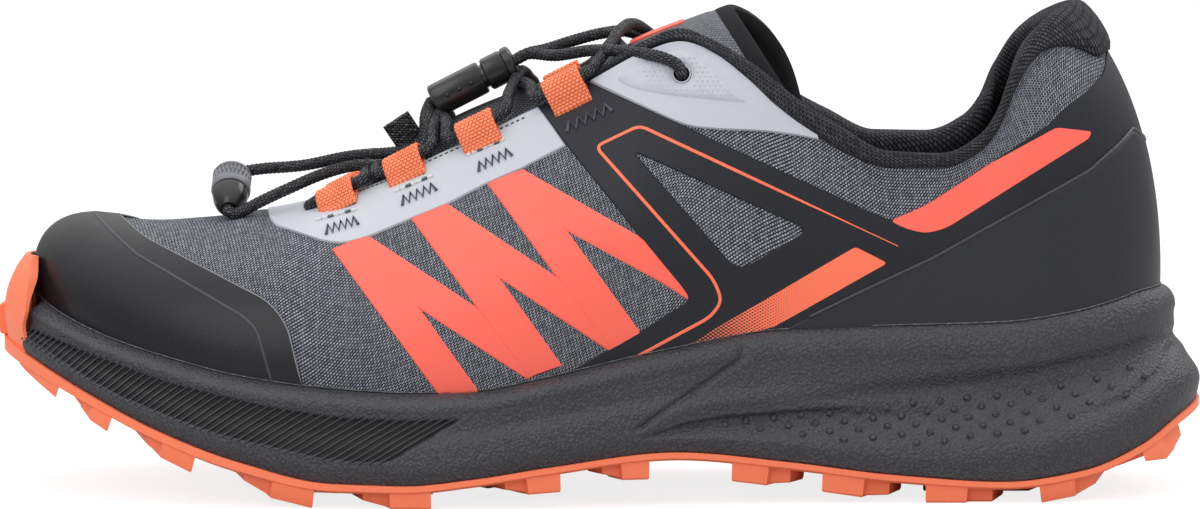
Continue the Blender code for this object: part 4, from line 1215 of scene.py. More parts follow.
def makeDots(net):
    dots = Bundle()
    step = np.array(midsole["dotStep"])
    pixels = [np.array((x, y)) + j * step for x, y, count in midsole["dots"] for j in range(count)]
    for spots in eachSide(traced(pixels, net)):
        for centre, out in zip(*wallSpots(spots)):
            dome(dots, centre, out, *midsole["dotSize"])
    dots.make("midsoleDots", "midsole_foam", ["midsole"])


makeFoam()
wallNet = makeNet(midsoleWall, (0.0, 1.0, 521), (0.0, midsole["rollFrom"], 61))
makeRibs(wallNet)
makeDots(wallNet)
print("midsole made")

# insole board, seen through the collar
insole = {"half": 160, "thick": 5.0, "clear": 0.8, "round": 1.0}


def makeInsole():
    places = loopOf(insole["half"])
    base = readTable(last["shape"], "baseInset", np.abs(wrapPlace(places)))
    inset = base + last["wall"] + insole["clear"]
    floor, thick, edge = levelAt("floor", places), insole["thick"], insole["round"]
    levels = ((inset, 2 * last["gap"]), (inset, thick - edge), (inset + edge, thick))
    rings = [outlineAt(places, inward, floor + up) for inward, up in levels]
    points, faces = ringSolid(rings, insole["half"])
    bundle = Bundle()
    bundle.add(points, faces, points[:, :2])
    piece = bundle.make("insolePad", "lining_cloth", ["insole"], sharp=40.0, nodes=["insole"])


makeInsole()
print("insole made")

# upper: one skin of ripstop mesh with its lining, open at collar and throat and underneath
upper = {"vamp": 100, "quarter": 170, "rows": 80, "turn": 0.60}


# the weave's map: along the shoe, and down from the ridge or the top line, running on round the heel
def weaveMap(places, lateral, heights, outer, middle):
    turn = upper["turn"]
    held = upperSurface(np.minimum(np.abs(places), turn)[:, None], heights[None, :])[..., 0]
    step = np.linalg.norm(np.diff(middle[: len(lateral)], axis=0), axis=1) * (lateral[1:] > turn)
    reach = np.concatenate([[0.0], np.cumsum(step)])
    along = held + np.interp(np.abs(places), lateral, reach)[:, None]
    rise = np.linalg.norm(np.diff(outer[..., 1:], axis=1), axis=-1)
    down = np.concatenate([np.cumsum(rise[:, ::-1], axis=1)[:, ::-1], np.zeros((len(places), 1))], 1)
    return stacked(along, down * sideOf(places)[:, None])


def makeUpper():
    vamp = np.linspace(0.0, last["throat"], upper["vamp"] + 1)
    quarter = np.linspace(last["throat"], 1.0, upper["quarter"] + 1)[1:]
    lateral = np.concatenate([vamp, quarter])
    places = np.concatenate([lateral, -lateral[-2:0:-1]])
    heights = np.linspace(0.0, 1.0, upper["rows"] + 1)
    outer, inner = (upperAt(places[:, None], heights[None, :], offset) for offset in (0.0, -last["wall"]))
    u = np.abs(places)
    walled = np.maximum(u, np.roll(u, -1)) > last["throat"] + tiny
    points, faces, corners = twoSkins(outer, inner, walled, True)
    middle = outer[:, outer.shape[1] // 2]
    flat = weaveMap(places, lateral, heights, outer, middle)
    around = runLength(middle)
    tall = stacked(around[:, None], outer[..., 2])
    flat, tall = np.concatenate([flat, flat[:1]]), np.concatenate([tall, tall[:1]])
    tall[-1, :, 0] = around[-1] + 1.0
    front = len(corners)
    edges = len(faces) - 2 * front
    cornerUv = np.concatenate([cornerMap(flat, corners), cornerMap(tall, corners[:, ::-1], 4 * edges)])
    lookOf = [0] * front + [1] * (front + edges)
    piece = makePiece(
        "upperCloth", "upper_mesh", points, faces, ["mesh", "lining"], lookOf, cornerUv,
        weld=True, nodes=["upper"],
    )
    area = sum(p.area for p in piece.data.polygons) / 2.0
    print("upper skin area, square metres:", round(area, 4))


makeUpper()
print("upper made")


# a thin shell over the upper between a low and a high edge of its profile, its rim rounded
shellRim = {"high": 0.007, "most": 0.3, "lift": 0.3}


def shellParts(places, low, high, rows, outside, inside):
    ridge = (np.abs(wrapPlace(places)) <= last["throat"]) & (high >= 1.0 - tiny)
    rim = np.minimum(shellRim["high"], shellRim["most"] * (high - low))
    edge = np.where(ridge, 0.0, rim)[:, None]
    share = np.linspace(0.0, 1.0, rows)[None, :]
    v = low[:, None] + (high[:, None] - edge - low[:, None]) * share
    v = np.concatenate([v, high[:, None]], 1)
    lift = np.full(v.shape, outside)
    lift[:, -1] = np.where(ridge, outside, shellRim["lift"] * outside)
    outer, inner = upperAt(places[:, None], v, lift), upperAt(places[:, None], v, inside)
    return twoSkins(outer, inner, ~(ridge[:-1] & ridge[1:]))[:2]


# toe cap: moulded film over the toe, with a raised line inside its edge, its lighter grey a painted
# highlight
toeCap = {
    "edge": ((120, 217), (143, 238, 14), (270, 303, 40), (288, 326, 30), (304, 392)),
    "line": ((94, 216), (117, 239, 20), (138, 257), (245, 318, 30), (258, 331, 20), (274, 386)),
    "half": 110, "rows": 44, "proud": 0.95, "under": -0.1, "tuck": 1.5, "least": 0.02,
    "lineSize": (0.5, 0.22),
    "rimSize": (0.22, 0.3),
}


def makeToeCap():
    edge = upperLine(toeCap["edge"])
    order = np.argsort(edge[:, 0])
    half = np.linspace(0.0, edge[order[-1], 0], toeCap["half"] + 1)
    high = np.interp(half, edge[order, 0], edge[order, 1])
    high[half <= edge[order[0], 0]] = 1.0
    low = heightAt(half, levelAt("rim", half) - toeCap["tuck"])
    high = np.maximum(high, low + toeCap["least"])
    places = np.concatenate([-half[:0:-1], half])
    low, high = (np.concatenate([line[:0:-1], line]) for line in (low, high))
    proud = toeCap["proud"]
    points, faces = shellParts(places, low, high, toeCap["rows"], proud, toeCap["under"])
    makePiece("toeCapFilm", "cap_rubber", points, faces, ["cap"], sharp=40.0, weld=True, nodes=["toe_cap"])
    lines = Bundle()
    (radius, sunk), (rimRadius, rimSunk) = toeCap["lineSize"], toeCap["rimSize"]
    for line, rim in zip(eachSide(upperLine(toeCap["line"])), eachSide(edge)):
        # the raised line takes the lighter grey look, a painted highlight
        surfaceTube(lines, line, radius, proud - sunk)
        # the pale tube round the cap's edge, a painted highlight
        surfaceTube(lines, rim, rimRadius, proud - rimSunk, 6, 1)
    lines.make("toeCapLines", "cap_rubber", ["ridge", "cutEdge"])


makeToeCap()
print("toe cap made")


# a film cut to an outline of spots, with holes, as a thin closed piece on the upper
filmCut = {
    "scale": (330.0, 88.0),
    "spacing": 1.7, "rowStep": 0.87, "clear": 0.55, "under": -0.12, "sharpest": 0.45,
}


# a ring of the cut in millimetres, evenly stepped, with the film on its left
def filmRing(ring, first):
    ring = np.asarray(ring, float) * filmCut["scale"]
    ring = ring[np.linalg.norm(np.roll(ring, -1, axis=0) - ring, axis=1) > last["step"]]
    following = np.roll(ring, -1, axis=0)
    turning = np.sum(ring[:, 0] * following[:, 1] - following[:, 0] * ring[:, 1])
    return stepped(ring[::-1] if (turning < 0.0) == first else ring, filmCut["spacing"])


# the ring moved in by the width of the film's bevelled edge
def filmInset(ring, bevel):
    ahead = unit(np.roll(ring, -1, axis=0) - ring)
    left = stacked(-ahead[:, 1], ahead[:, 0])
    both = unit(left + np.roll(left, 1, axis=0))
    reach = 1.0 / np.maximum(filmCut["sharpest"], np.sum(both * left, axis=1))
    return ring + bevel * reach[:, None] * both


def insideFilm(points, rings):
    inside = insideOf(points, rings[0])
    for ring in rings[1:]:
        inside &= ~insideOf(points, ring)
    return inside


# pairs of neighbours round each ring, counted on from ring to ring
def ringEdges(rings):
    edges, start = [], 0
    for ring in rings:
        n = len(ring)
        edges += [(start + k, start + (k + 1) % n) for k in range(n)]
        start += n
    return edges


def filmParts(outline, holes=(), thick=0.35, bevel=0.25):
    scale, spacing = np.array(filmCut["scale"]), filmCut["spacing"]
    rings = [filmRing(ring, i == 0) for i, ring in enumerate([outline, *holes])]
    inner = [filmInset(ring, bevel) for ring in rings]
    border = np.concatenate(inner)
    lattice = latticeOver(inner[0].min(0), inner[0].max(0), spacing, spacing * filmCut["rowStep"])
    lattice = lattice[insideFilm(lattice, inner)]
    gaps = [np.linalg.norm(border - spot, axis=1).min() for spot in lattice]
    clear = np.array(gaps) > filmCut["clear"] * spacing
    spots = np.concatenate([border, lattice[clear]]) if gaps else border
    edges = ringEdges(rings)
    net = delaunay_2d_cdt([Vector(p) for p in spots], edges, [], 0, tiny)
    flat, triangles = np.array([tuple(p) for p in net[0]]), np.array(net[2])
    triangles = triangles[insideFilm(flat[triangles].mean(1), inner)]
    newIndex = {source: index for index, sources in enumerate(net[3]) for source in sources}
    rim = np.concatenate(rings)
    n = len(flat)
    points = [spotsAt(flat / scale, thick), spotsAt(flat / scale, filmCut["under"]), spotsAt(rim / scale)]
    faces = [tuple(t) for t in triangles] + [tuple(t[::-1] + n) for t in triangles]
    for a, b in edges:
        i, j = newIndex[a], newIndex[b]
        faces += [(j, i, 2 * n + a, 2 * n + b), (i + n, j + n, 2 * n + b, 2 * n + a)]
    return np.concatenate(points), faces, np.concatenate([flat, flat, rim])


def addFilm(bundle, outline, holes=(), thick=0.35, bevel=0.25, both=True):
    for side in bothSides if both else bothSides[:1]:
        cuts = [mirrored(hole, side) for hole in holes]
        bundle.add(*filmParts(mirrored(outline, side), cuts, thick, bevel))


# one film on each side, or a single one that already runs across
def makeFilm(name, outline, look, holes=(), thick=0.35, both=True):
    bundle = Bundle()
    addFilm(bundle, outline, holes, thick, both=both)
    bundle.make(name, "counter_film", [look], sharp=35.0)


# outlines of the films in photo pixels, with a third number for a rounded corner
panels = {
    "topEdge": 0.992,
    "eyestayLow": (
        (566, 146), (522, 169), (487, 184), (447, 205), (412, 219), (370, 237, 20), (345, 244, 20),
        (325, 242, 20), (301, 234, 20), (276, 226, 14), (270, 219, 8),
    ),
    "eyestayFront": 0.297, "eyestayThroat": 0.3215,
    "eyestayEnds": (0.004, 0.001),
    "ankleLow": (
        (819, 140), (800, 136, 20), (760, 131, 30), (720, 130, 30), (687, 127, 20), (640, 106), (600, 87),
        (590, 82),
    ),
    "ankleHole": (682, 75, 8.5),
    "holeTurns": 24,
    "saddleHigh": (
        (1106, 50), (1104, 72, 14), (1088, 91, 14), (1069, 104, 14), (1051, 123), (994, 161),
        (925, 206, 30), (895, 221, 16), (875, 214, 16), (687, 127), (600, 87), (592, 83),
    ),
    "saddleFront": (
        (537, 106), (567, 146), (648, 247), (682, 288, 12), (690, 300, 12), (646, 328), (608, 350),
        (573, 370), (528, 390),
    ),
    "heelTop": 0.90,
    "topSteps": {"saddle": 12, "eyestay": 60, "ankle": 50},
    "footSteps": 70, "saddleGap": 0.002, "saddleTuck": 1.0,
    "window": ((633, 151, 10), (809, 230, 14), (738, 271, 16)),
    "print": ((855, 246, 4), (889, 263, 6), (775, 327), (725, 340), (668, 355)),
    "collarStripe": (
        (1056, 127, 4), (1091, 131, 4), (1089, 139, 8), (946, 229, 30), (925, 234, 20), (905, 229, 20),
        (889, 221, 6), (925, 206, 30), (994, 161),
    ),
    "pinstripe": (
        (617, 367), (710, 317, 14), (722, 301, 14), (714, 280, 14), (596, 147, 8), (640, 126, 8),
        (898, 246),
    ),
    "pinstripeSize": (1.05, 0.7, 0.72, 0.2, 0.46),
    "zigTop": ((350, 243), (77.5, -33.0)),
    "zigFoot": ((464, 400), (81.5, -28.5)),
    "zigCount": 3,
    "zigStroke": ((-18, 6), (18, -8), (17, -6), (-17, 6)),
    "zigSlope": ((18, -8), (15, -9), (-18, 8), (0, 20)),
    "zigThick": (0.30, 0.24),
    "zigEnd": ((663, 250, 10), (688, 288, 10), (690, 301, 5), (664, 284, 10)),
}


def topLine(start, end, name):
    return stacked(np.linspace(start, end, panels["topSteps"][name]), panels["topEdge"])


# the same spots on the far side, counted on past the heel
def roundHeel(spots):
    return stacked(2.0 - spots[:, 0], spots[:, 1])


def holeRim(turn):
    x, y, radius = panels["ankleHole"]
    return traced(stacked(x + radius * np.cos(turn), y + radius * np.sin(turn)), upperNet)


def makeSaddle(front):
    high, gap = upperLine(panels["saddleHigh"]), panels["saddleGap"]
    foot = np.linspace(front[-1, 0] + 2 * gap, 1.0, panels["footSteps"])
    footLine = stacked(foot, heightAt(foot, levelAt("rim", foot) - panels["saddleTuck"]))
    top = topLine(high[-1, 0] - gap, front[0, 0] + gap, "saddle")
    lateral = np.concatenate([[(1.0, panels["heelTop"])], high, top, front, footLine])
    window = upperOutline(panels["window"])
    outline = np.concatenate([lateral, roundHeel(lateral)[-2:0:-1]])
    makeFilm("saddleFilm", outline, "film", [window, roundHeel(window)], both=False)


def makeEyestay(front):
    throat, start, end = panels["eyestayThroat"], *panels["eyestayEnds"]
    top = topLine(throat + start, front[0, 0] + end, "eyestay")
    half = np.concatenate([top, upperLine(panels["eyestayLow"])])
    across = stacked(half[:, 0], 2.0 - half[:, 1])[::-1]
    outline = np.concatenate([[(throat, 1.0)], half, [(panels["eyestayFront"], 1.0)], across])
    makeFilm("eyestayFilm", outline, "paleFilm", thick=0.5, both=False)


def makeAnklePanel():
    low, gap = upperLine(panels["ankleLow"]), panels["saddleGap"]
    outline = np.concatenate([low, topLine(low[-1, 0] + gap, low[0, 0] - gap, "ankle")])
    hole = holeRim(turnsOf(panels["holeTurns"]))
    makeFilm("anklePanel", outline, "paleFilm", [hole], thick=0.75)


# strokes down from the eyestay, each with a slope across to the foot of the next
def makeZigzag():
    top, topStep, foot, footStep = (np.array(pair, float) for pair in panels["zigTop"] + panels["zigFoot"])
    count = panels["zigCount"]
    bundle = Bundle()
    for i in range(count):
        head, heel, following = top + i * topStep, foot + i * footStep, foot + (i + 1) * footStep
        stroke = [np.add(*pair) for pair in zip((head, head, heel, heel), panels["zigStroke"])]
        slope = [np.add(*pair) for pair in zip((head, following, following, head), panels["zigSlope"])]
        if i == count - 1:
            slope[1:3] = panels["zigEnd"]
        for corners, thick in zip((stroke, slope), panels["zigThick"]):
            addFilm(bundle, upperOutline(corners), thick=thick)
    bundle.make("zigzagFilm", "counter_film", ["coral"], sharp=35.0)


def makePinstripe():
    bundle = Bundle()
    spots = upperLine(panels["pinstripe"], 3.0)
    wide, thinner, start, low, high = panels["pinstripeSize"]
    width = wide * (1.0 - thinner * smoothStep(start, 1.0, np.linspace(0.0, 1.0, len(spots))))[:, None]
    for here in eachSide(spots):
        barStrip(bundle, spotsAt(here), spotsOut(here), width, low, high)
    bundle.make("pinstripe", "counter_film", ["line"], sharp=35.0)


saddleFront = upperLine(panels["saddleFront"])
makeSaddle(saddleFront)
makeEyestay(saddleFront)
makeAnklePanel()
makeFilm("collarStripe", upperOutline(panels["collarStripe"]), "coral", thick=0.5)
makeFilm("sidePrint", upperOutline(panels["print"]), "orange", thick=0.45)
makeZigzag()
makePinstripe()
print("films made")

# heel counter: the stiff film round the heel, standing a little proud with a soft edge line, its lighter
# grey a painted highlight
counter = {
    "edge": ((790, 326), (860, 292), (933, 258), (1021, 209), (1088, 171), (1118, 144), (1131, 129)),
    "steps": 150, "rows": 40, "proud": 0.62, "under": 0.1, "tuck": 1.5, "backDrop": 0.05,
    "least": 0.01,
    "lineSize": (0.42, 0.12),
    "linePoints": (4, -4, 3),
}


def makeCounter():
    edge = upperLine(counter["edge"])
    start = edge[0, 0]
    places = np.linspace(start, 2.0 - start, 2 * counter["steps"] + 1)
    u = np.abs(wrapPlace(places))
    back = (1.0, edge[-1, 1] - counter["backDrop"])
    high = np.interp(u, *np.vstack([edge, back]).T)
    low = heightAt(u, levelAt("rim", u) - counter["tuck"])
    proud, top = counter["proud"], np.maximum(high, low + counter["least"])
    points, faces = shellParts(places, low, top, counter["rows"], proud, counter["under"])
    makePiece(
        "heelCounterFilm", "counter_film", points, faces, ["counter"], sharp=40.0, nodes=["heel_counter"]
    )
    lines = Bundle()
    radius, sunk = counter["lineSize"]
    spots = stacked(places, high)[slice(*counter["linePoints"])]
    surfaceTube(lines, spots, radius, proud - sunk)
    # the edge line takes the lighter grey look, a painted highlight
    lines.make("counterLine", "counter_film", ["ridge"])


makeCounter()
print("heel counter made")

# collar: padded knit binding over the top edge, turning into a lip at the heel
collar = {
    "from": 0.492, "steps": 560, "ring": 28,
    "rows": (
        ("place", "drop", "belly", "inner", "rise"),
        (0.492, 0.3, 0.8, 0.6, 1.2), (0.520, 0.6, 1.3, 1.4, 2.4), (0.545, 0.8, 1.5, 2, 3),
        (0.560, 1.6, 1.6, 2.3, 2.6), (0.575, 4, 1.7, 2.5, 1.5), (0.590, 6, 1.8, 2.7, 0.6),
        (0.630, 6, 1.9, 2.9, 0.3), (0.660, 4.2, 1.9, 3.1, 0.2), (0.700, 3.6, 1.9, 3.2, 0.3),
        (0.740, 4.2, 1.9, 3.3, 0.4), (0.780, 5.2, 2, 3.4, 0.3), (0.850, 6, 2.3, 3.7, 0.3),
        (0.880, 8, 2.5, 3.8, 0.2), (0.910, 11.5, 2.8, 3.9, 0), (0.945, 16.5, 3, 4, 0),
        (1.000, 16.5, 3, 4, 0),
    ),
    "innerDrop": (2.0, 9.0, 0.04),
    "bow": 1.08, "mapAt": 3, "mapStep": 0.9,
}


# the binding's section as pairs of distance down from the top line and out from the upper
def collarSection(u):
    rows = collar["rows"]
    drop, belly, inner, rise = (readTable(rows, name, u) for name in rows[0][1:])
    wall, flat = last["wall"], 0.0 * u
    least, more, within = collar["innerDrop"]
    deep = more * smoothStep(collar["from"], collar["from"] + within, u) + least
    return (
        (drop, flat + 0.1),
        (drop * 0.86, belly * 0.75),
        (drop * 0.5, belly),
        (drop * 0.15, belly * 0.95),
        (-0.75 * rise, belly * 0.45),
        (-rise, flat - wall / 2),
        (-0.7 * rise, -wall - inner * 0.45),
        (deep * 0.12, -wall - inner * 0.9),
        (deep * 0.4, -wall - inner),
        (deep * 0.8, -wall - inner * 0.55),
        (deep, flat - wall + 0.2),
        ((deep + drop) / 3, flat - wall / 2),
    )


def makeCollar():
    places = np.linspace(collar["from"], 2.0 - collar["from"], collar["steps"] + 1)
    base, _, high, top = upperControls(places)
    rising = unit(top - high)
    long = np.linalg.norm(top - base, axis=-1) * collar["bow"]
    rings = []
    for down, off in collarSection(np.abs(wrapPlace(places))):
        spot = upperAt(places, 1.0 - np.maximum(down, 0.0) / long, off)
        rings.append(spot + np.maximum(-down, 0.0)[:, None] * rising)
    control = np.stack(rings, 1)
    count, cols = len(rings), collar["ring"]
    at = np.arange(cols) * count / cols
    k = at.astype(int)
    four = (control[:, (k + shift) % count] for shift in (-1, 0, 1, 2))
    ring = betweenPoints(*four, (at - k)[None, :, None])
    points, faces, corners = fanSolid(ring, [ring[0].mean(0), ring[-1].mean(0)])
    table = stacked(runLength(ring[:, collar["mapAt"]])[:, None], np.arange(cols + 1) * collar["mapStep"])
    cornerUv = cornerMap(table, corners, 6 * cols)
    piece = makePiece("collarBinding", "lining_cloth", points, faces, ["binding"], cornerUv=cornerUv)


makeCollar()
print("collar made")

# tongue: padded cloth bridging the throat, its far end bound in black
tongue = {
    "rows": (
        ("x", "crest", "halfWidth", "drop"),
        (-86, 64.2, 15, 9), (-75, 66.4, 17, 12), (-66, 71.2, 18.5, 17),
        (-56, 78.8, 21, 24), (-40, 90.2, 23, 28), (-22, 98.2, 23, 30),
        (-8, 103, 22.5, 30), (2, 107.6, 22, 32), (9, 111.4, 22, 33),
        (20, 115.8, 23, 33), (33.4, 120.6, 24, 32),
    ),
    "sweep": 0.63,
    "wing": (6.6, 31.0, 15.0, 0.6),
    "thick": 3.5, "stations": 150, "arcs": 56, "padFrom": 7.0, "bindFrom": 28.2,
    "seams": ((0.35, 0.9), (0.3, 0.7)),
    "patch": (7.5, 20.5, 0.17, 0.45, 0.4),
    "patchGrid": (30, 24),
    "edge": (1.6, 1.75),
    "mapStep": 1.15,
}


def tongueValue(name, x):
    return readTable(tongue["rows"], name, x)


def tongueAt(x, turn, inward):
    width = tongueValue("halfWidth", x) - inward
    sink = (tongueValue("drop", x) - inward) * (1.0 - np.cos(turn))
    axis = readTable([row[1:3] for row in last["top"][:1] + last["top"][5:]], "axis", x)
    z = tongueValue("crest", x) - inward - sink
    far, deep, start, bow = tongue["wing"]
    wing = far * np.sin(np.pi * np.clip(sink / deep, 0.0, 1.0) ** bow) * (turn > 0.0)
    wing = wing * smoothStep(start, tongue["rows"][-1][0], x)
    return stacked(x + tongue["sweep"] * sink + wing, axis + width * np.sin(turn), z)


def makeTongue():
    first, final = tongue["rows"][1][0], tongue["rows"][-1][0]
    arcs, padFrom, bindFrom = tongue["arcs"], tongue["padFrom"], tongue["bindFrom"]
    x = np.linspace(first, final, tongue["stations"])[:, None]
    angles = np.linspace(-np.pi / 2, np.pi / 2, arcs + 1)[None, :]
    seams = zip((padFrom, bindFrom), tongue["seams"])
    seam = sum(deep * hump(x - at, wide) for at, (deep, wide) in seams)
    curl, sunk = tongue["edge"]
    tight = np.clip((final - x) / curl, 0.0, 1.0)
    tuck = sunk * (1.0 - np.sqrt(1.0 - (1.0 - tight) ** 2))
    outside = tongueAt(x, angles, seam + tuck)
    inside = tongueAt(x, angles[:, ::-1], tongue["thick"] - tuck)
    ring = np.concatenate([outside, inside], 1)
    rows, cols = ring.shape[:2]
    points, faces = turnedSolid(ring)
    _, corners = gridFaces(rows, cols, False, True)
    table = stacked(runLength(outside[:, arcs // 2])[:, None], np.arange(cols + 1) * tongue["mapStep"])
    where = x[corners[:, 0, 0], 0]
    lookOf = np.where(where > bindFrom, 2, np.where(where > padFrom, 1, 0))
    lookOf[corners[:, 0, 1] > arcs] = 2
    piece = makePiece(
        "tonguePad", "upper_mesh", points, faces, ["tongueMesh", "tonguePad", "felt"], [*lookOf, 0, 2],
        cornerMap(table, corners, 2 * cols), nodes=["tongue"],
    )


def makePatch():
    low, high, wide, thick, under = tongue["patch"]
    rows, cols = tongue["patchGrid"]
    x, angles = np.linspace(low, high, rows)[:, None], np.linspace(-wide, wide, cols)[None, :]
    points, faces, _ = twoSkins(tongueAt(x, angles, -thick), tongueAt(x, angles, under))
    makePiece("tonguePatch", "upper_mesh", points, faces, ["coral"], sharp=40.0)


makeTongue()
makePatch()
print("tongue made")

# webbing loops: a strap folded over the throat's edge and sewn down below, woven in small bumps
loops = {
    "places": (0.358, 0.400, 0.4375, 0.484),
    "heights": {0.358: 0.95},
    "leads": {0.358: 0.398},
    "width": 10.0, "seat": 0.03, "strap": 0.95,
    "fold": (
        (-5.7, 0.55), (-4.2, 1.5), (-2.4, 3.0), (-0.2, 4.0), (1.6, 4.0), (2.9, 3.0), (3.1, 1.6), (2.2, 0.6),
        (0.0, 0.45), (-3.0, 0.4), (-5.5, 0.3),
    ),
    "bump": (1.25, 1.5, 0.16, 0.06),
    "edge": (0.5, 0.55),
    "spacing": 0.25,
    "lace": (0.7, 2.3),
}


def loopFrame(place):
    step = last["step"]
    high = loops["heights"].get(abs(place), 1.0)
    edge = upperSurface(place, high)
    lead = math.copysign(loops["leads"].get(abs(place), abs(place)), place)
    along = unit(upperSurface(lead + step, 1.0) - upperSurface(lead - step, 1.0))
    along = -along if along[0] < 0.0 else along
    out = upperNormal(np.asarray(place), np.asarray(high - loops["seat"]))
    out = unit(out - out.dot(along) * along)
    inward = np.cross(out, along)
    inward = -inward if inward[1] * sideOf(place) > 0.0 else inward
    return edge, along, inward, out


def makeLoop(name, place, node):
    middle, along, inward, out = loopFrame(place)
    width, spacing = loops["width"], loops["spacing"]
    path = curveThrough(loops["fold"], spacing, closed=True)[:-1]
    following = np.roll(path, -1, axis=0)
    ahead = unit(following - np.roll(path, 1, axis=0))
    turning = np.sum(path[:, 0] * following[:, 1] - following[:, 0] * path[:, 1])
    normal = stacked(-ahead[:, 1], ahead[:, 0]) * (-1.0 if turning > 0.0 else 1.0)
    across = np.linspace(-width / 2, width / 2, int(width / spacing) + 1)
    reach = np.arange(len(path)) * spacing
    pitch, row, high, crown = loops["bump"]
    bumps = high * np.sin(2 * np.pi * reach / row)[:, None] * np.sin(2 * np.pi * across / pitch)
    bumps = bumps + crown * np.abs(np.sin(np.pi * across / pitch))
    edge, thin = loops["edge"]
    fade = np.minimum(1.0, (width / 2 - np.abs(across)) / edge)
    half = loops["strap"] / 2.0 * (thin + (1.0 - thin) * fade)
    frameIn, frameOut = ((line[:, :1] * inward + line[:, 1:] * out)[:, None] for line in (path, normal))
    strips = across[None, :, None] * along + frameIn
    face = strips + (half + bumps * fade)[..., None] * frameOut
    back = strips - half[:, None] * frameOut
    ring = np.concatenate([face, back[:, ::-1]], 1) + middle
    rows, cols = ring.shape[:2]
    faces, corners = gridFaces(rows, cols, True, True)
    table = stacked((np.arange(rows + 1) * spacing)[:, None], np.arange(cols + 1) * spacing)
    makePiece(name, "webbing", ring, faces, ["webbing"], cornerUv=cornerMap(table, corners), nodes=[node])


for number, place in enumerate(loops["places"], start=1):
    makeLoop("webbingLateral%d" % number, place, "loop_lateral_%d" % number)
    makeLoop("webbingMedial%d" % number, -place, "loop_medial_%d" % number)
print("webbing loops made")

# sewing: short stitches along the eyestay, a tack bar and a zigzag of thread under each loop
sewing = {
    "edge": (0.338, 0.462, 44, 0.976),
    "bars": (
        ((317, 222), (358, 211)), ((396, 193), (434, 177)),
        ((467, 157), (506, 140)), ((553, 114), (592, 98)),
    ),
    "zigs": (
        ((326, 232), (358, 222)), ((402, 203), (436, 188)),
        ((478, 169), (511, 153)), ((566, 129), (611, 108)),
    ),
    "zigRise": (4.4, 5, 0.03),
    "zigLift": 0.62, "thread": 0.48, "lift": 0.5, "under": -0.1, "stitch": 0.55,
    "stitchSize": (0.5, 0.16),
    "tacks": 7,
    "tackSteps": (0.06, 0.35, 0.65, 0.94),
    "tackSize": (1.2, 0.4),
    "tints": ((2, 2, 1), (2, 2, 1), (2, 2, 1), (0, 1)),
}


def addStitch(bundle, spots, width, high, look=0):
    for here in eachSide(spots):
        barStrip(bundle, spotsAt(here, sewing["lift"]), spotsOut(here), width, sewing["under"], high, look)


# a bar of short stitches, their tints taking turns
def addTack(bundle, start, end, tints):
    count = sewing["tacks"]
    for k in range(count):
        share = (k + np.array(sewing["tackSteps"]))[:, None] / count
        spots = traced(np.array(start) + share * (np.array(end) - start), upperNet)
        addStitch(bundle, spots, *sewing["tackSize"], tints[k % len(tints)])


def addZigzag(bundle, start, end):
    rise, zigs, lean = sewing["zigRise"]
    along = np.array(end, float) - start
    over = np.array((along[1], -along[0])) / np.linalg.norm(along)
    line = [
        start + along * (k / (2 * zigs) + lean * (k % 2)) + over * (rise if k % 2 else -rise)
        for k in range(2 * zigs + 1)
    ]
    for here in eachSide(traced(line, upperNet)):
        surfaceTube(bundle, here, sewing["thread"], sewing["zigLift"], 6, 1, 0.0)


def makeSewing():
    bundle = Bundle()
    start, end, count, high = sewing["edge"]
    for i in range(count):
        places = start + (end - start) * (i + np.linspace(0.0, sewing["stitch"], 4)) / count
        addStitch(bundle, stacked(places, high), *sewing["stitchSize"])
    for bar, zig, tints in zip(sewing["bars"], sewing["zigs"], sewing["tints"]):
        addTack(bundle, *bar, tints)
        addZigzag(bundle, *zig)
    bundle.make("sewnThreads", "webbing", ["darkThread", "thread", "paleThread"], sharp=40.0)


makeSewing()
print("sewing made")

# ankle panel: raised drop-shaped plateau, fine knurl, a rim round the lace hole and a black disc in the hole
# as its painted shade
ankle = {
    "ridge": (
        (752, 106), (700, 101), (660, 97), (628, 91), (614, 82), (622, 73), (646, 61),
        (668, 51), (684, 48), (702, 58), (727, 82),
    ),
    "knurl": ((640, 74), (672, 55), (692, 56), (738, 98), (690, 95), (655, 90)),
    "pitch": (5.2, 4.5),
    "clear": 14.0,
    "plateau": (1.1, 0.7),
    "round": 10,
    "rim": (0.2, 0.8),
    "rimPoints": 40,
    "dot": (0.42, 0.2, 6),
    "dotSunk": 0.05,
    # black disc that fills the lace hole: painted shade of the hole
    "dark": (2.1, 0.25, 16),
}


def makeAnkle():
    bundle = Bundle()
    plateau, bevel = ankle["plateau"]
    drop = upperOutline([p + (ankle["round"],) for p in ankle["ridge"]], 3.0)
    rim = holeRim(np.linspace(0.0, 2.0 * np.pi, ankle["rimPoints"]))
    middle = np.array(panels["ankleHole"][:2])
    polygon = np.array(ankle["knurl"], float)
    dots = latticeOver(polygon.min(0), polygon.max(0), *ankle["pitch"])
    clear = np.linalg.norm(dots - middle, axis=1) > ankle["clear"]
    spots, hole = traced(dots[insideOf(dots, polygon) & clear], upperNet), traced([middle], upperNet)
    for side in bothSides:
        edge = mirrored(rim, side)
        bundle.add(*filmParts(mirrored(drop, side), [edge[:-1]], plateau, bevel))
        surfaceTube(bundle, edge, *ankle["rim"])
        here = mirrored(spots, side)
        for centre, out in zip(spotsAt(here, plateau - ankle["dotSunk"]), spotsOut(here)):
            dome(bundle, centre, out, *ankle["dot"])
        here = mirrored(hole, side)
        # a black disc in the hole stands for its shade
        dome(bundle, spotsAt(here)[0], spotsOut(here)[0], *ankle["dark"], 1)
    bundle.make("ankleRelief", "counter_film", ["paleFilm", "binding"])


makeAnkle()
print("ankle panel made")

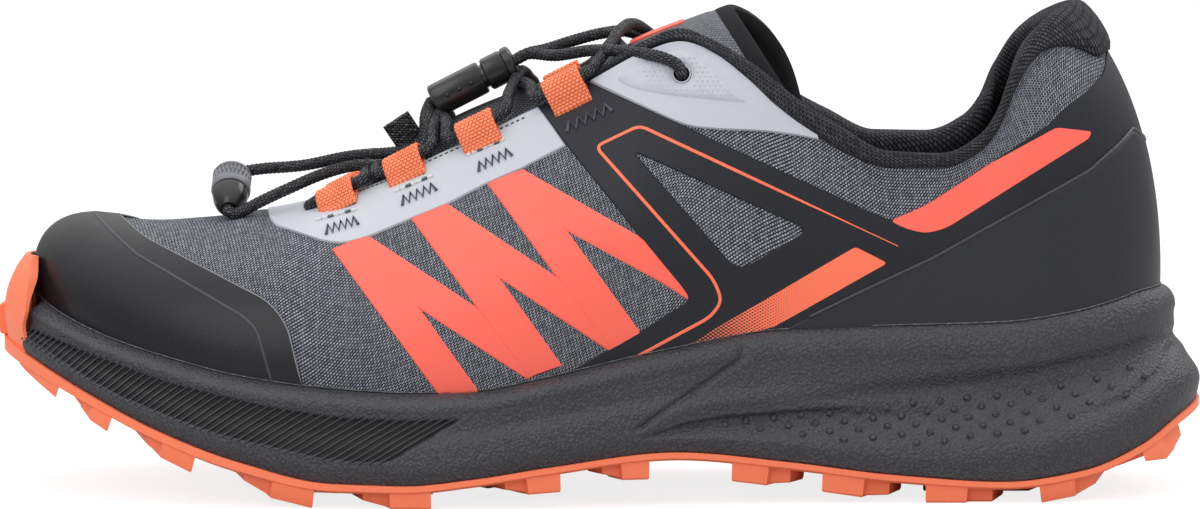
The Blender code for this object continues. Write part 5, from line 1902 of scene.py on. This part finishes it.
# glue line where the upper meets the midsole, lying on whichever film is there: height, start, end
glue = {
    "radius": 0.2, "steps": 420, "reach": 0.995, "rise": 0.25, "lift": 0.12,
    "films": ((0.8, 0.345, 0.335), (0.25, 0.46, 0.48), (0.3, 0.64, 0.66)),
}


def makeGlue():
    places = np.linspace(-glue["reach"], glue["reach"], 2 * glue["steps"])
    u = np.abs(places)
    high = heightAt(u, levelAt("rim", u) + glue["rise"])
    offset = glue["lift"] + sum(thick * smoothStep(start, end, u) for thick, start, end in glue["films"])
    points, faces, _ = tubeParts(upperAt(places, high, offset), glue["radius"], 6)
    makePiece("featherGlue", "midsole_foam", points, faces, ["glue"])


makeGlue()
print("glue line made")

# lace: a braided cord through the loops, its ends through the ankle panels to the lock and the bead
lace = {
    "radius": 1.4, "sides": 24, "spacing": 0.4, "mouth": 5.1, "clear": 0.15, "over": 2.85,
    "braid": (5, 2.3, 0.18),
    "acrossHigh": (
        (2.5, -13.0, 110.4), (4.8, -6.0, 113.6), (8.0, 3.0, 115.2), (12.0, 13.0, 113.0),
        (16.0, 18.5, 108.5),
    ),
    "acrossLow": (
        (1.0, 8.0, 108.2), (3.5, -2.0, 110.8), (6.0, -11.0, 109.2), (9.5, -17.0, 106.2),
        (14.0, -19.5, 104.5),
    ),
    "overPanel": ((677, 67, 1.9), (660, 60, 2.2)),
    "endLateral": ((6.1, -20.0, 109.0), (-2.2, -14.5, 109.0), (-10.7, -8.0, 107.6)),
    "endMedial": (
        (12.5, 23.5, 110.6), (6.5, 17.0, 113.0), (0.4, 11.0, 112.6), (-6.2, 7.5, 111.0),
        (-13.4, 4.5, 108.8),
    ),
    "endStraight": 4.0, "tailStraight": 1.0,
    "tailMedial": (
        (-43.4, -2.0, 92.4), (-44.2, -6.5, 86.0), (-50.0, -7.0, 83.7), (-62.0, -0.5, 82.3),
        (-74.0, 3.5, 79.8), (-84.0, 7.0, 78.8),
    ),
    "tailLateral": (
        (-42.6, -6.5, 91.2), (-43.8, -11.0, 84.8), (-51.0, -11.0, 81.0), (-61.0, -6.5, 80.2),
        (-69.0, -5.0, 78.0), (-77.0, -5.5, 74.6), (-84.0, -7.5, 71.4),
    ),
    "beadTurn": (1.3, 2.6, 0.8),
    "intoBead": 3.0, "intoLock": 1.5, "overWide": 0.24, "overSteps": 9, "behindEyelet": 1.8,
    "runOut": 0.5,
    "outOfEyelet": (0.3, 1.2),
}


def braid(reach, turn):
    strands, pitch, high = lace["braid"]
    along = 2 * np.pi * reach / pitch
    return high * np.cos(strands * turn + along) * np.cos(strands * turn - along)


def makeLace(name, points, nodes):
    path = curveThrough(points, lace["spacing"])
    shape, faces, cornerUv = tubeParts(path, lace["radius"], lace["sides"], braid)
    piece = makePiece(name, "lace_cord", shape, faces, ["cord"], cornerUv=cornerUv, nodes=nodes)
    return piece, (path + np.array(last["shift"])) * mm


def laceSeat(place):
    edge, _, inward, out = loopFrame(place)
    return edge + loops["lace"][0] * inward + loops["lace"][1] * out


def mouthOf(place, ahead):
    return laceSeat(place) + ahead * (loops["width"] + lace["mouth"]) / 2 * loopFrame(place)[1]


def overTongue(start, end, over):
    t = np.linspace(0.0, 1.0, lace["overSteps"])[1:-1]
    points = start + (end - start) * t[:, None]
    crest = tongueValue("crest", points[:, 0]) + lace["radius"] + lace["clear"]
    crest = crest + over * hump(t - 0.5, lace["overWide"])
    points[:, 2] += np.maximum(0.0, crest - points[:, 2]) * np.sqrt(np.sin(np.pi * t))
    return points


def eyeletAt(side, offset):
    (place, high), = traced([panels["ankleHole"][:2]], upperNet)
    return upperAt(side * place, high, offset)


def makeLaceRuns():
    places = loops["places"]
    bar = overTongue(mouthOf(places[0], -1.0), mouthOf(-places[0], -1.0), 0.0)
    middle = len(bar) // 2
    barNodes = ["lace_bar", "lace_cross_1", "lace_cross_2", "lace_cross_3"]
    for name, side, across, nodes in (
        ("laceRunLateral", 1.0, lace["acrossLow"], barNodes),
        ("laceRunMedial", -1.0, lace["acrossHigh"], []),
    ):
        points = [*(bar[middle::-1] if side > 0.0 else bar[middle:])]
        for i, place in enumerate(places):
            here = side * place * (-1.0) ** i
            points += [mouthOf(here, -1.0), laceSeat(here), mouthOf(here, 1.0)]
            if i < len(places) - 1:
                over = lace["over"] if (i % 2 == 0) == (side > 0.0) else 0.0
                there = -side * places[i + 1] * (-1.0) ** i
                points += [*overTongue(mouthOf(here, 1.0), mouthOf(there, -1.0), over)]
        points += [np.array(p) for p in across]
        behind = -last["wall"] - lace["behindEyelet"]
        points += [eyeletAt(side, offset) for offset in (behind, lace["runOut"])]
        makeLace(name, points, nodes)


makeLaceRuns()
print("lace runs made")

# cord lock, bead and keeper tab
lock = {
    "centre": (-32.0, 0.0, 100.6),
    "tilt": 27.0,
    "rings": (
        (-10.6, 4.8, 3.4), (-10.5, 5.3, 3.8), (-10.2, 5.65, 4.1), (-9.6, 5.8, 4.2), (-8.8, 5.85, 4.2),
        (2.6, 5.85, 4.2), (3.1, 5.6, 4.0), (3.2, 4.6, 3.0), (4.0, 4.6, 3.0), (4.1, 5.3, 3.8),
        (4.5, 5.6, 4.2), (9.0, 5.5, 4.2), (9.7, 5.2, 3.8), (9.9, 5.6, 4.3), (11.4, 5.6, 4.3),
        (11.9, 5.2, 3.8), (12.1, 4.4, 3.0),
    ),
    "sides": 48, "lacesApart": 2.4,
    "studs": ((-6.5, -3.2, 0.1), 0.55, 0.4),
}
bead = {
    "centre": (-92.2, 1.0, 73.6),
    "tilt": 34.0,
    "sleeve": (
        (-6.6, 1.7), (-6.6, 4.1), (-6.3, 4.6), (-5.6, 4.9), (-5.3, 4.9), (-5.1, 4.85), (-3.2, 4.85),
        (-3.0, 4.85), (-1.1, 4.85), (-0.9, 4.9), (0.2, 4.9), (0.7, 4.6), (0.7, 1.7),
    ),
    "cone": (
        (1.1, 1.7), (1.1, 4.2), (1.4, 4.45), (2.4, 4.45), (4.5, 4.05), (6.2, 3.35), (7.2, 2.75), (7.7, 2.3),
        (7.8, 1.9), (7.5, 1.6), (5.0, 1.6),
    ),
    "sides": 104, "grooves": 26, "grooveDeep": 0.55,
    "knurls": ((5, 0.0), (7, math.pi)),
    "coneMouth": 8,
}
keeper = {
    "centre": (-48.2, -4.5, 87.8),
    "size": (7.4, 9.4, 2.0),
    "tilt": 33.0, "lean": 78.0,
    "weave": (1.5, 0.28),
    "sides": 96, "rows": 44,
    "corners": (0.25, 0.45),
    "ends": (0.12, 0.75),
}


# a moulded piece turned about an axis: distances along it, half sizes across and above
def turnedRings(frame, along, across, above):
    centre, axis, sideways, upwards = frame
    middles = centre + np.asarray(along)[:, None, None] * axis
    return middles + across[..., None] * sideways + above[..., None] * upwards


def tilted(centre, tilt):
    angle = math.radians(tilt)
    c, s = math.cos(angle), math.sin(angle)
    return tuple(np.array(a) for a in (centre, (c, 0.0, s), (0.0, 1.0, 0.0), (-s, 0.0, c)))


def beadFrame():
    angle = math.radians(bead["tilt"])
    axis = np.array((0.0, -math.cos(angle), -math.sin(angle)))
    across = np.array((1.0, 0.0, 0.0))
    return np.array(bead["centre"]), axis, across, np.cross(axis, across)


def makeLock():
    frame = tilted(lock["centre"], lock["tilt"])
    centre, axis, across, _ = frame
    turn = turnsOf(lock["sides"]) + np.pi / lock["sides"]
    square = 1.0 / np.sqrt(np.maximum(np.abs(np.cos(turn)), np.abs(np.sin(turn))))
    along, wide, high = np.array(lock["rings"]).T
    bundle = Bundle()
    wideRings, highRings = wide[:, None] * square * np.cos(turn), high[:, None] * square * np.sin(turn)
    bundle.add(*turnedSolid(turnedRings(frame, along, wideRings, highRings)))
    spots, radius, height = lock["studs"]
    for at in spots:
        for side in (-1.0, 1.0):
            dome(bundle, centre + at * axis + side * max(wide) * across, side * across, radius, height, 12)
    return bundle.make("cordLockBody", "lock_plastic", ["plastic"], sharp=35.0, nodes=["cord_lock"])


def makeBead(name, part, look, slot, node):
    turn = turnsOf(bead["sides"])
    along, radius = np.array(bead[part]).T
    radius = radius[:, None] + 0.0 * turn
    for row, phase in bead["knurls"] if part == "sleeve" else ():
        radius[row:row + 2] -= bead["grooveDeep"] * (0.5 + 0.5 * np.cos(bead["grooves"] * turn + phase))
    rings = turnedRings(beadFrame(), along, radius * np.cos(turn), radius * np.sin(turn))
    return makePiece(name, slot, *turnedSolid(rings), [look], sharp=32.0, nodes=[node])


def makeKeeper():
    centre, axis, across, above = tilted(keeper["centre"], keeper["tilt"])
    lean = math.radians(keeper["lean"])
    rising = math.sin(lean) * above - math.cos(lean) * across
    length, height, thick = (s / 2.0 for s in keeper["size"])
    c, s = np.cos(turnsOf(keeper["sides"])), np.sin(turnsOf(keeper["sides"]))
    wideRound, deepRound = keeper["corners"]
    wide = length * np.sign(c) * np.abs(c) ** wideRound
    deep = thick * np.sign(s) * np.abs(s) ** deepRound
    up = np.linspace(-1.0, 1.0, keeper["rows"])
    end, least = keeper["ends"]
    tight = 1.0 - np.clip((1.0 - np.abs(up)) / end, 0.0, 1.0)
    shrink = least + (1.0 - least) * np.sqrt(1.0 - tight**2)
    up = up * height
    pitch, high = keeper["weave"]
    bump = high * np.sin(2 * np.pi * wide / pitch) * np.sin(2 * np.pi * up / pitch)[:, None]
    depth = deep * shrink[:, None] + bump * np.sign(s)
    frame = centre, rising, axis, np.cross(rising, axis)
    bundle = Bundle()
    points, faces = turnedSolid(turnedRings(frame, up, wide[None, :], depth))
    bundle.add(points, faces, stacked(wide, up[:, None]).reshape(-1, 2))
    bundle.make("keeperTab", "lace_cord", ["cord"], nodes=["lace_keeper"])


def layCord(name, points, node):
    piece, path = makeLace(name, points, [node])


def makeLaceEnds():
    lockPiece = makeLock()
    sleevePiece = makeBead("beadSleeve", "sleeve", "beadGrey", "bead_plastic", "bead_sleeve")
    conePiece = makeBead("beadCone", "cone", "plastic", "lock_plastic", "bead_cone")
    makeKeeper()
    centre, axis, across, _ = tilted(lock["centre"], lock["tilt"])
    inLock, apart = lace["intoLock"] * axis, lock["lacesApart"] * across
    mouth = centre + lock["rings"][-1][0] * axis
    panelSpots = traced([row[:2] for row in lace["overPanel"]], upperNet)
    for name, side, route, node in (
        ("laceEndLateral", 1.0, lace["endLateral"], "lace_end_lateral"),
        ("laceEndMedial", -1.0, lace["endMedial"], "lace_end_medial"),
    ):
        here = mouth - side * apart
        points = [eyeletAt(side, offset) for offset in lace["outOfEyelet"]]
        points += [*spotsAt(mirrored(panelSpots, side), [row[2] for row in lace["overPanel"]])]
        points += [np.array(p) for p in route]
        points += [here + lace["endStraight"] * axis, here, here - inLock]
        layCord(name, points, node)
    middle, turn, _, _ = beadFrame()
    start = centre + lock["rings"][0][0] * axis
    turnOut, turnAside, near = lace["beadTurn"]
    aside = np.array((turnAside, 0.0, 0.0))
    farEnd, nearEnd = bead["sleeve"][0][0], bead["cone"][bead["coneMouth"]][0]
    for name, side, route, at, node, farPiece in (
        ("laceTailMedial", 1.0, lace["tailMedial"], farEnd, "lace_tail_medial", sleevePiece),
        ("laceTailLateral", -1.0, lace["tailLateral"], nearEnd, "lace_tail_lateral", conePiece),
    ):
        here, end, out = start + side * apart, middle + at * turn, -side * turn
        points = [here + inLock, here, here - lace["tailStraight"] * axis]
        points += [np.array(p) for p in route]
        points += [end + turnOut * out + aside, end + near * out, end - lace["intoBead"] * out]
        layCord(name, points, node)


makeLaceEnds()
print("lace ends, lock, bead and keeper made")

# floor and light: a white floor with a faint shadow, a sky that is brightest overhead, two soft lamps
studio = {
    "floorSeen": (0.22, 0.22, 0.22, 1.0),
    "floorGlow": (0.82, 0.82, 0.82, 1.0),
    "noGlow": (0.0, 0.0, 0.0, 1.0),
    "floorBounce": (0.57, 0.57, 0.57, 1.0),
    "floorSize": 60.0,
    "sky": (0.22, 1.64),
    "lamps": (
        ("frontSoft", (-0.8, -1.6, 1.0), (0.0, 0.0, 0.05), 1.2, 7.7),
        ("heelRim", (0.9, 0.5, 0.9), (0.08, 0.0, 0.08), 0.6, 2.8),
    ),
}


# the floor glows for the camera alone, so its shadow stays faint
def makeFloor():
    half = studio["floorSize"] / 2
    mesh = bpy.data.meshes.new("studioFloor")
    corners = [(x * half, y * half, 0.0) for x, y in ((-1, -1), (1, -1), (1, 1), (-1, 1))]
    mesh.from_pydata(corners, [], [(0, 1, 2, 3)])
    look, tree, sockets = newLook("paleFloor", 0.9, Specular_IOR_Level=0.1, Emission_Strength=1.0)
    seen = addNode(tree, "ShaderNodeLightPath").outputs["Is Camera Ray"]
    feed(
        tree, sockets, Base_Color=blendColours(tree, seen, studio["floorBounce"], studio["floorSeen"]),
        Emission_Color=blendColours(tree, seen, studio["noGlow"], studio["floorGlow"]),
    )
    mesh.materials.append(look)
    floor = bpy.data.objects.new("studioFloor", mesh)
    bpy.context.scene.collection.objects.link(floor)


def makeSky():
    world = bpy.data.worlds.new("studioWorld")
    world.use_nodes = True
    tree = world.node_tree
    high = splitMap(tree, addNode(tree, "ShaderNodeTexCoord").outputs["Generated"])["Z"]
    low, gain = studio["sky"]
    sockets = tree.nodes["Background"].inputs
    feed(tree, sockets, Strength=calcLine(tree, calc(tree, "MAXIMUM", high, 0.0), gain, low))
    sockets["Color"].default_value = (1.0, 1.0, 1.0, 1.0)
    bpy.context.scene.world = world


def makeLamp(name, spot, aim, size, power):
    data = bpy.data.lights.new(name, "AREA")
    data.size, data.energy = size, power
    lamp = bpy.data.objects.new(name, data)
    lamp.location = spot
    lamp.rotation_euler = (Vector(aim) - Vector(spot)).to_track_quat("-Z", "Y").to_euler()
    bpy.context.scene.collection.objects.link(lamp)


makeFloor()
makeSky()
for row in studio["lamps"]:
    makeLamp(*row)
bpy.context.scene.view_settings.view_transform = "Standard"
print("studio set")
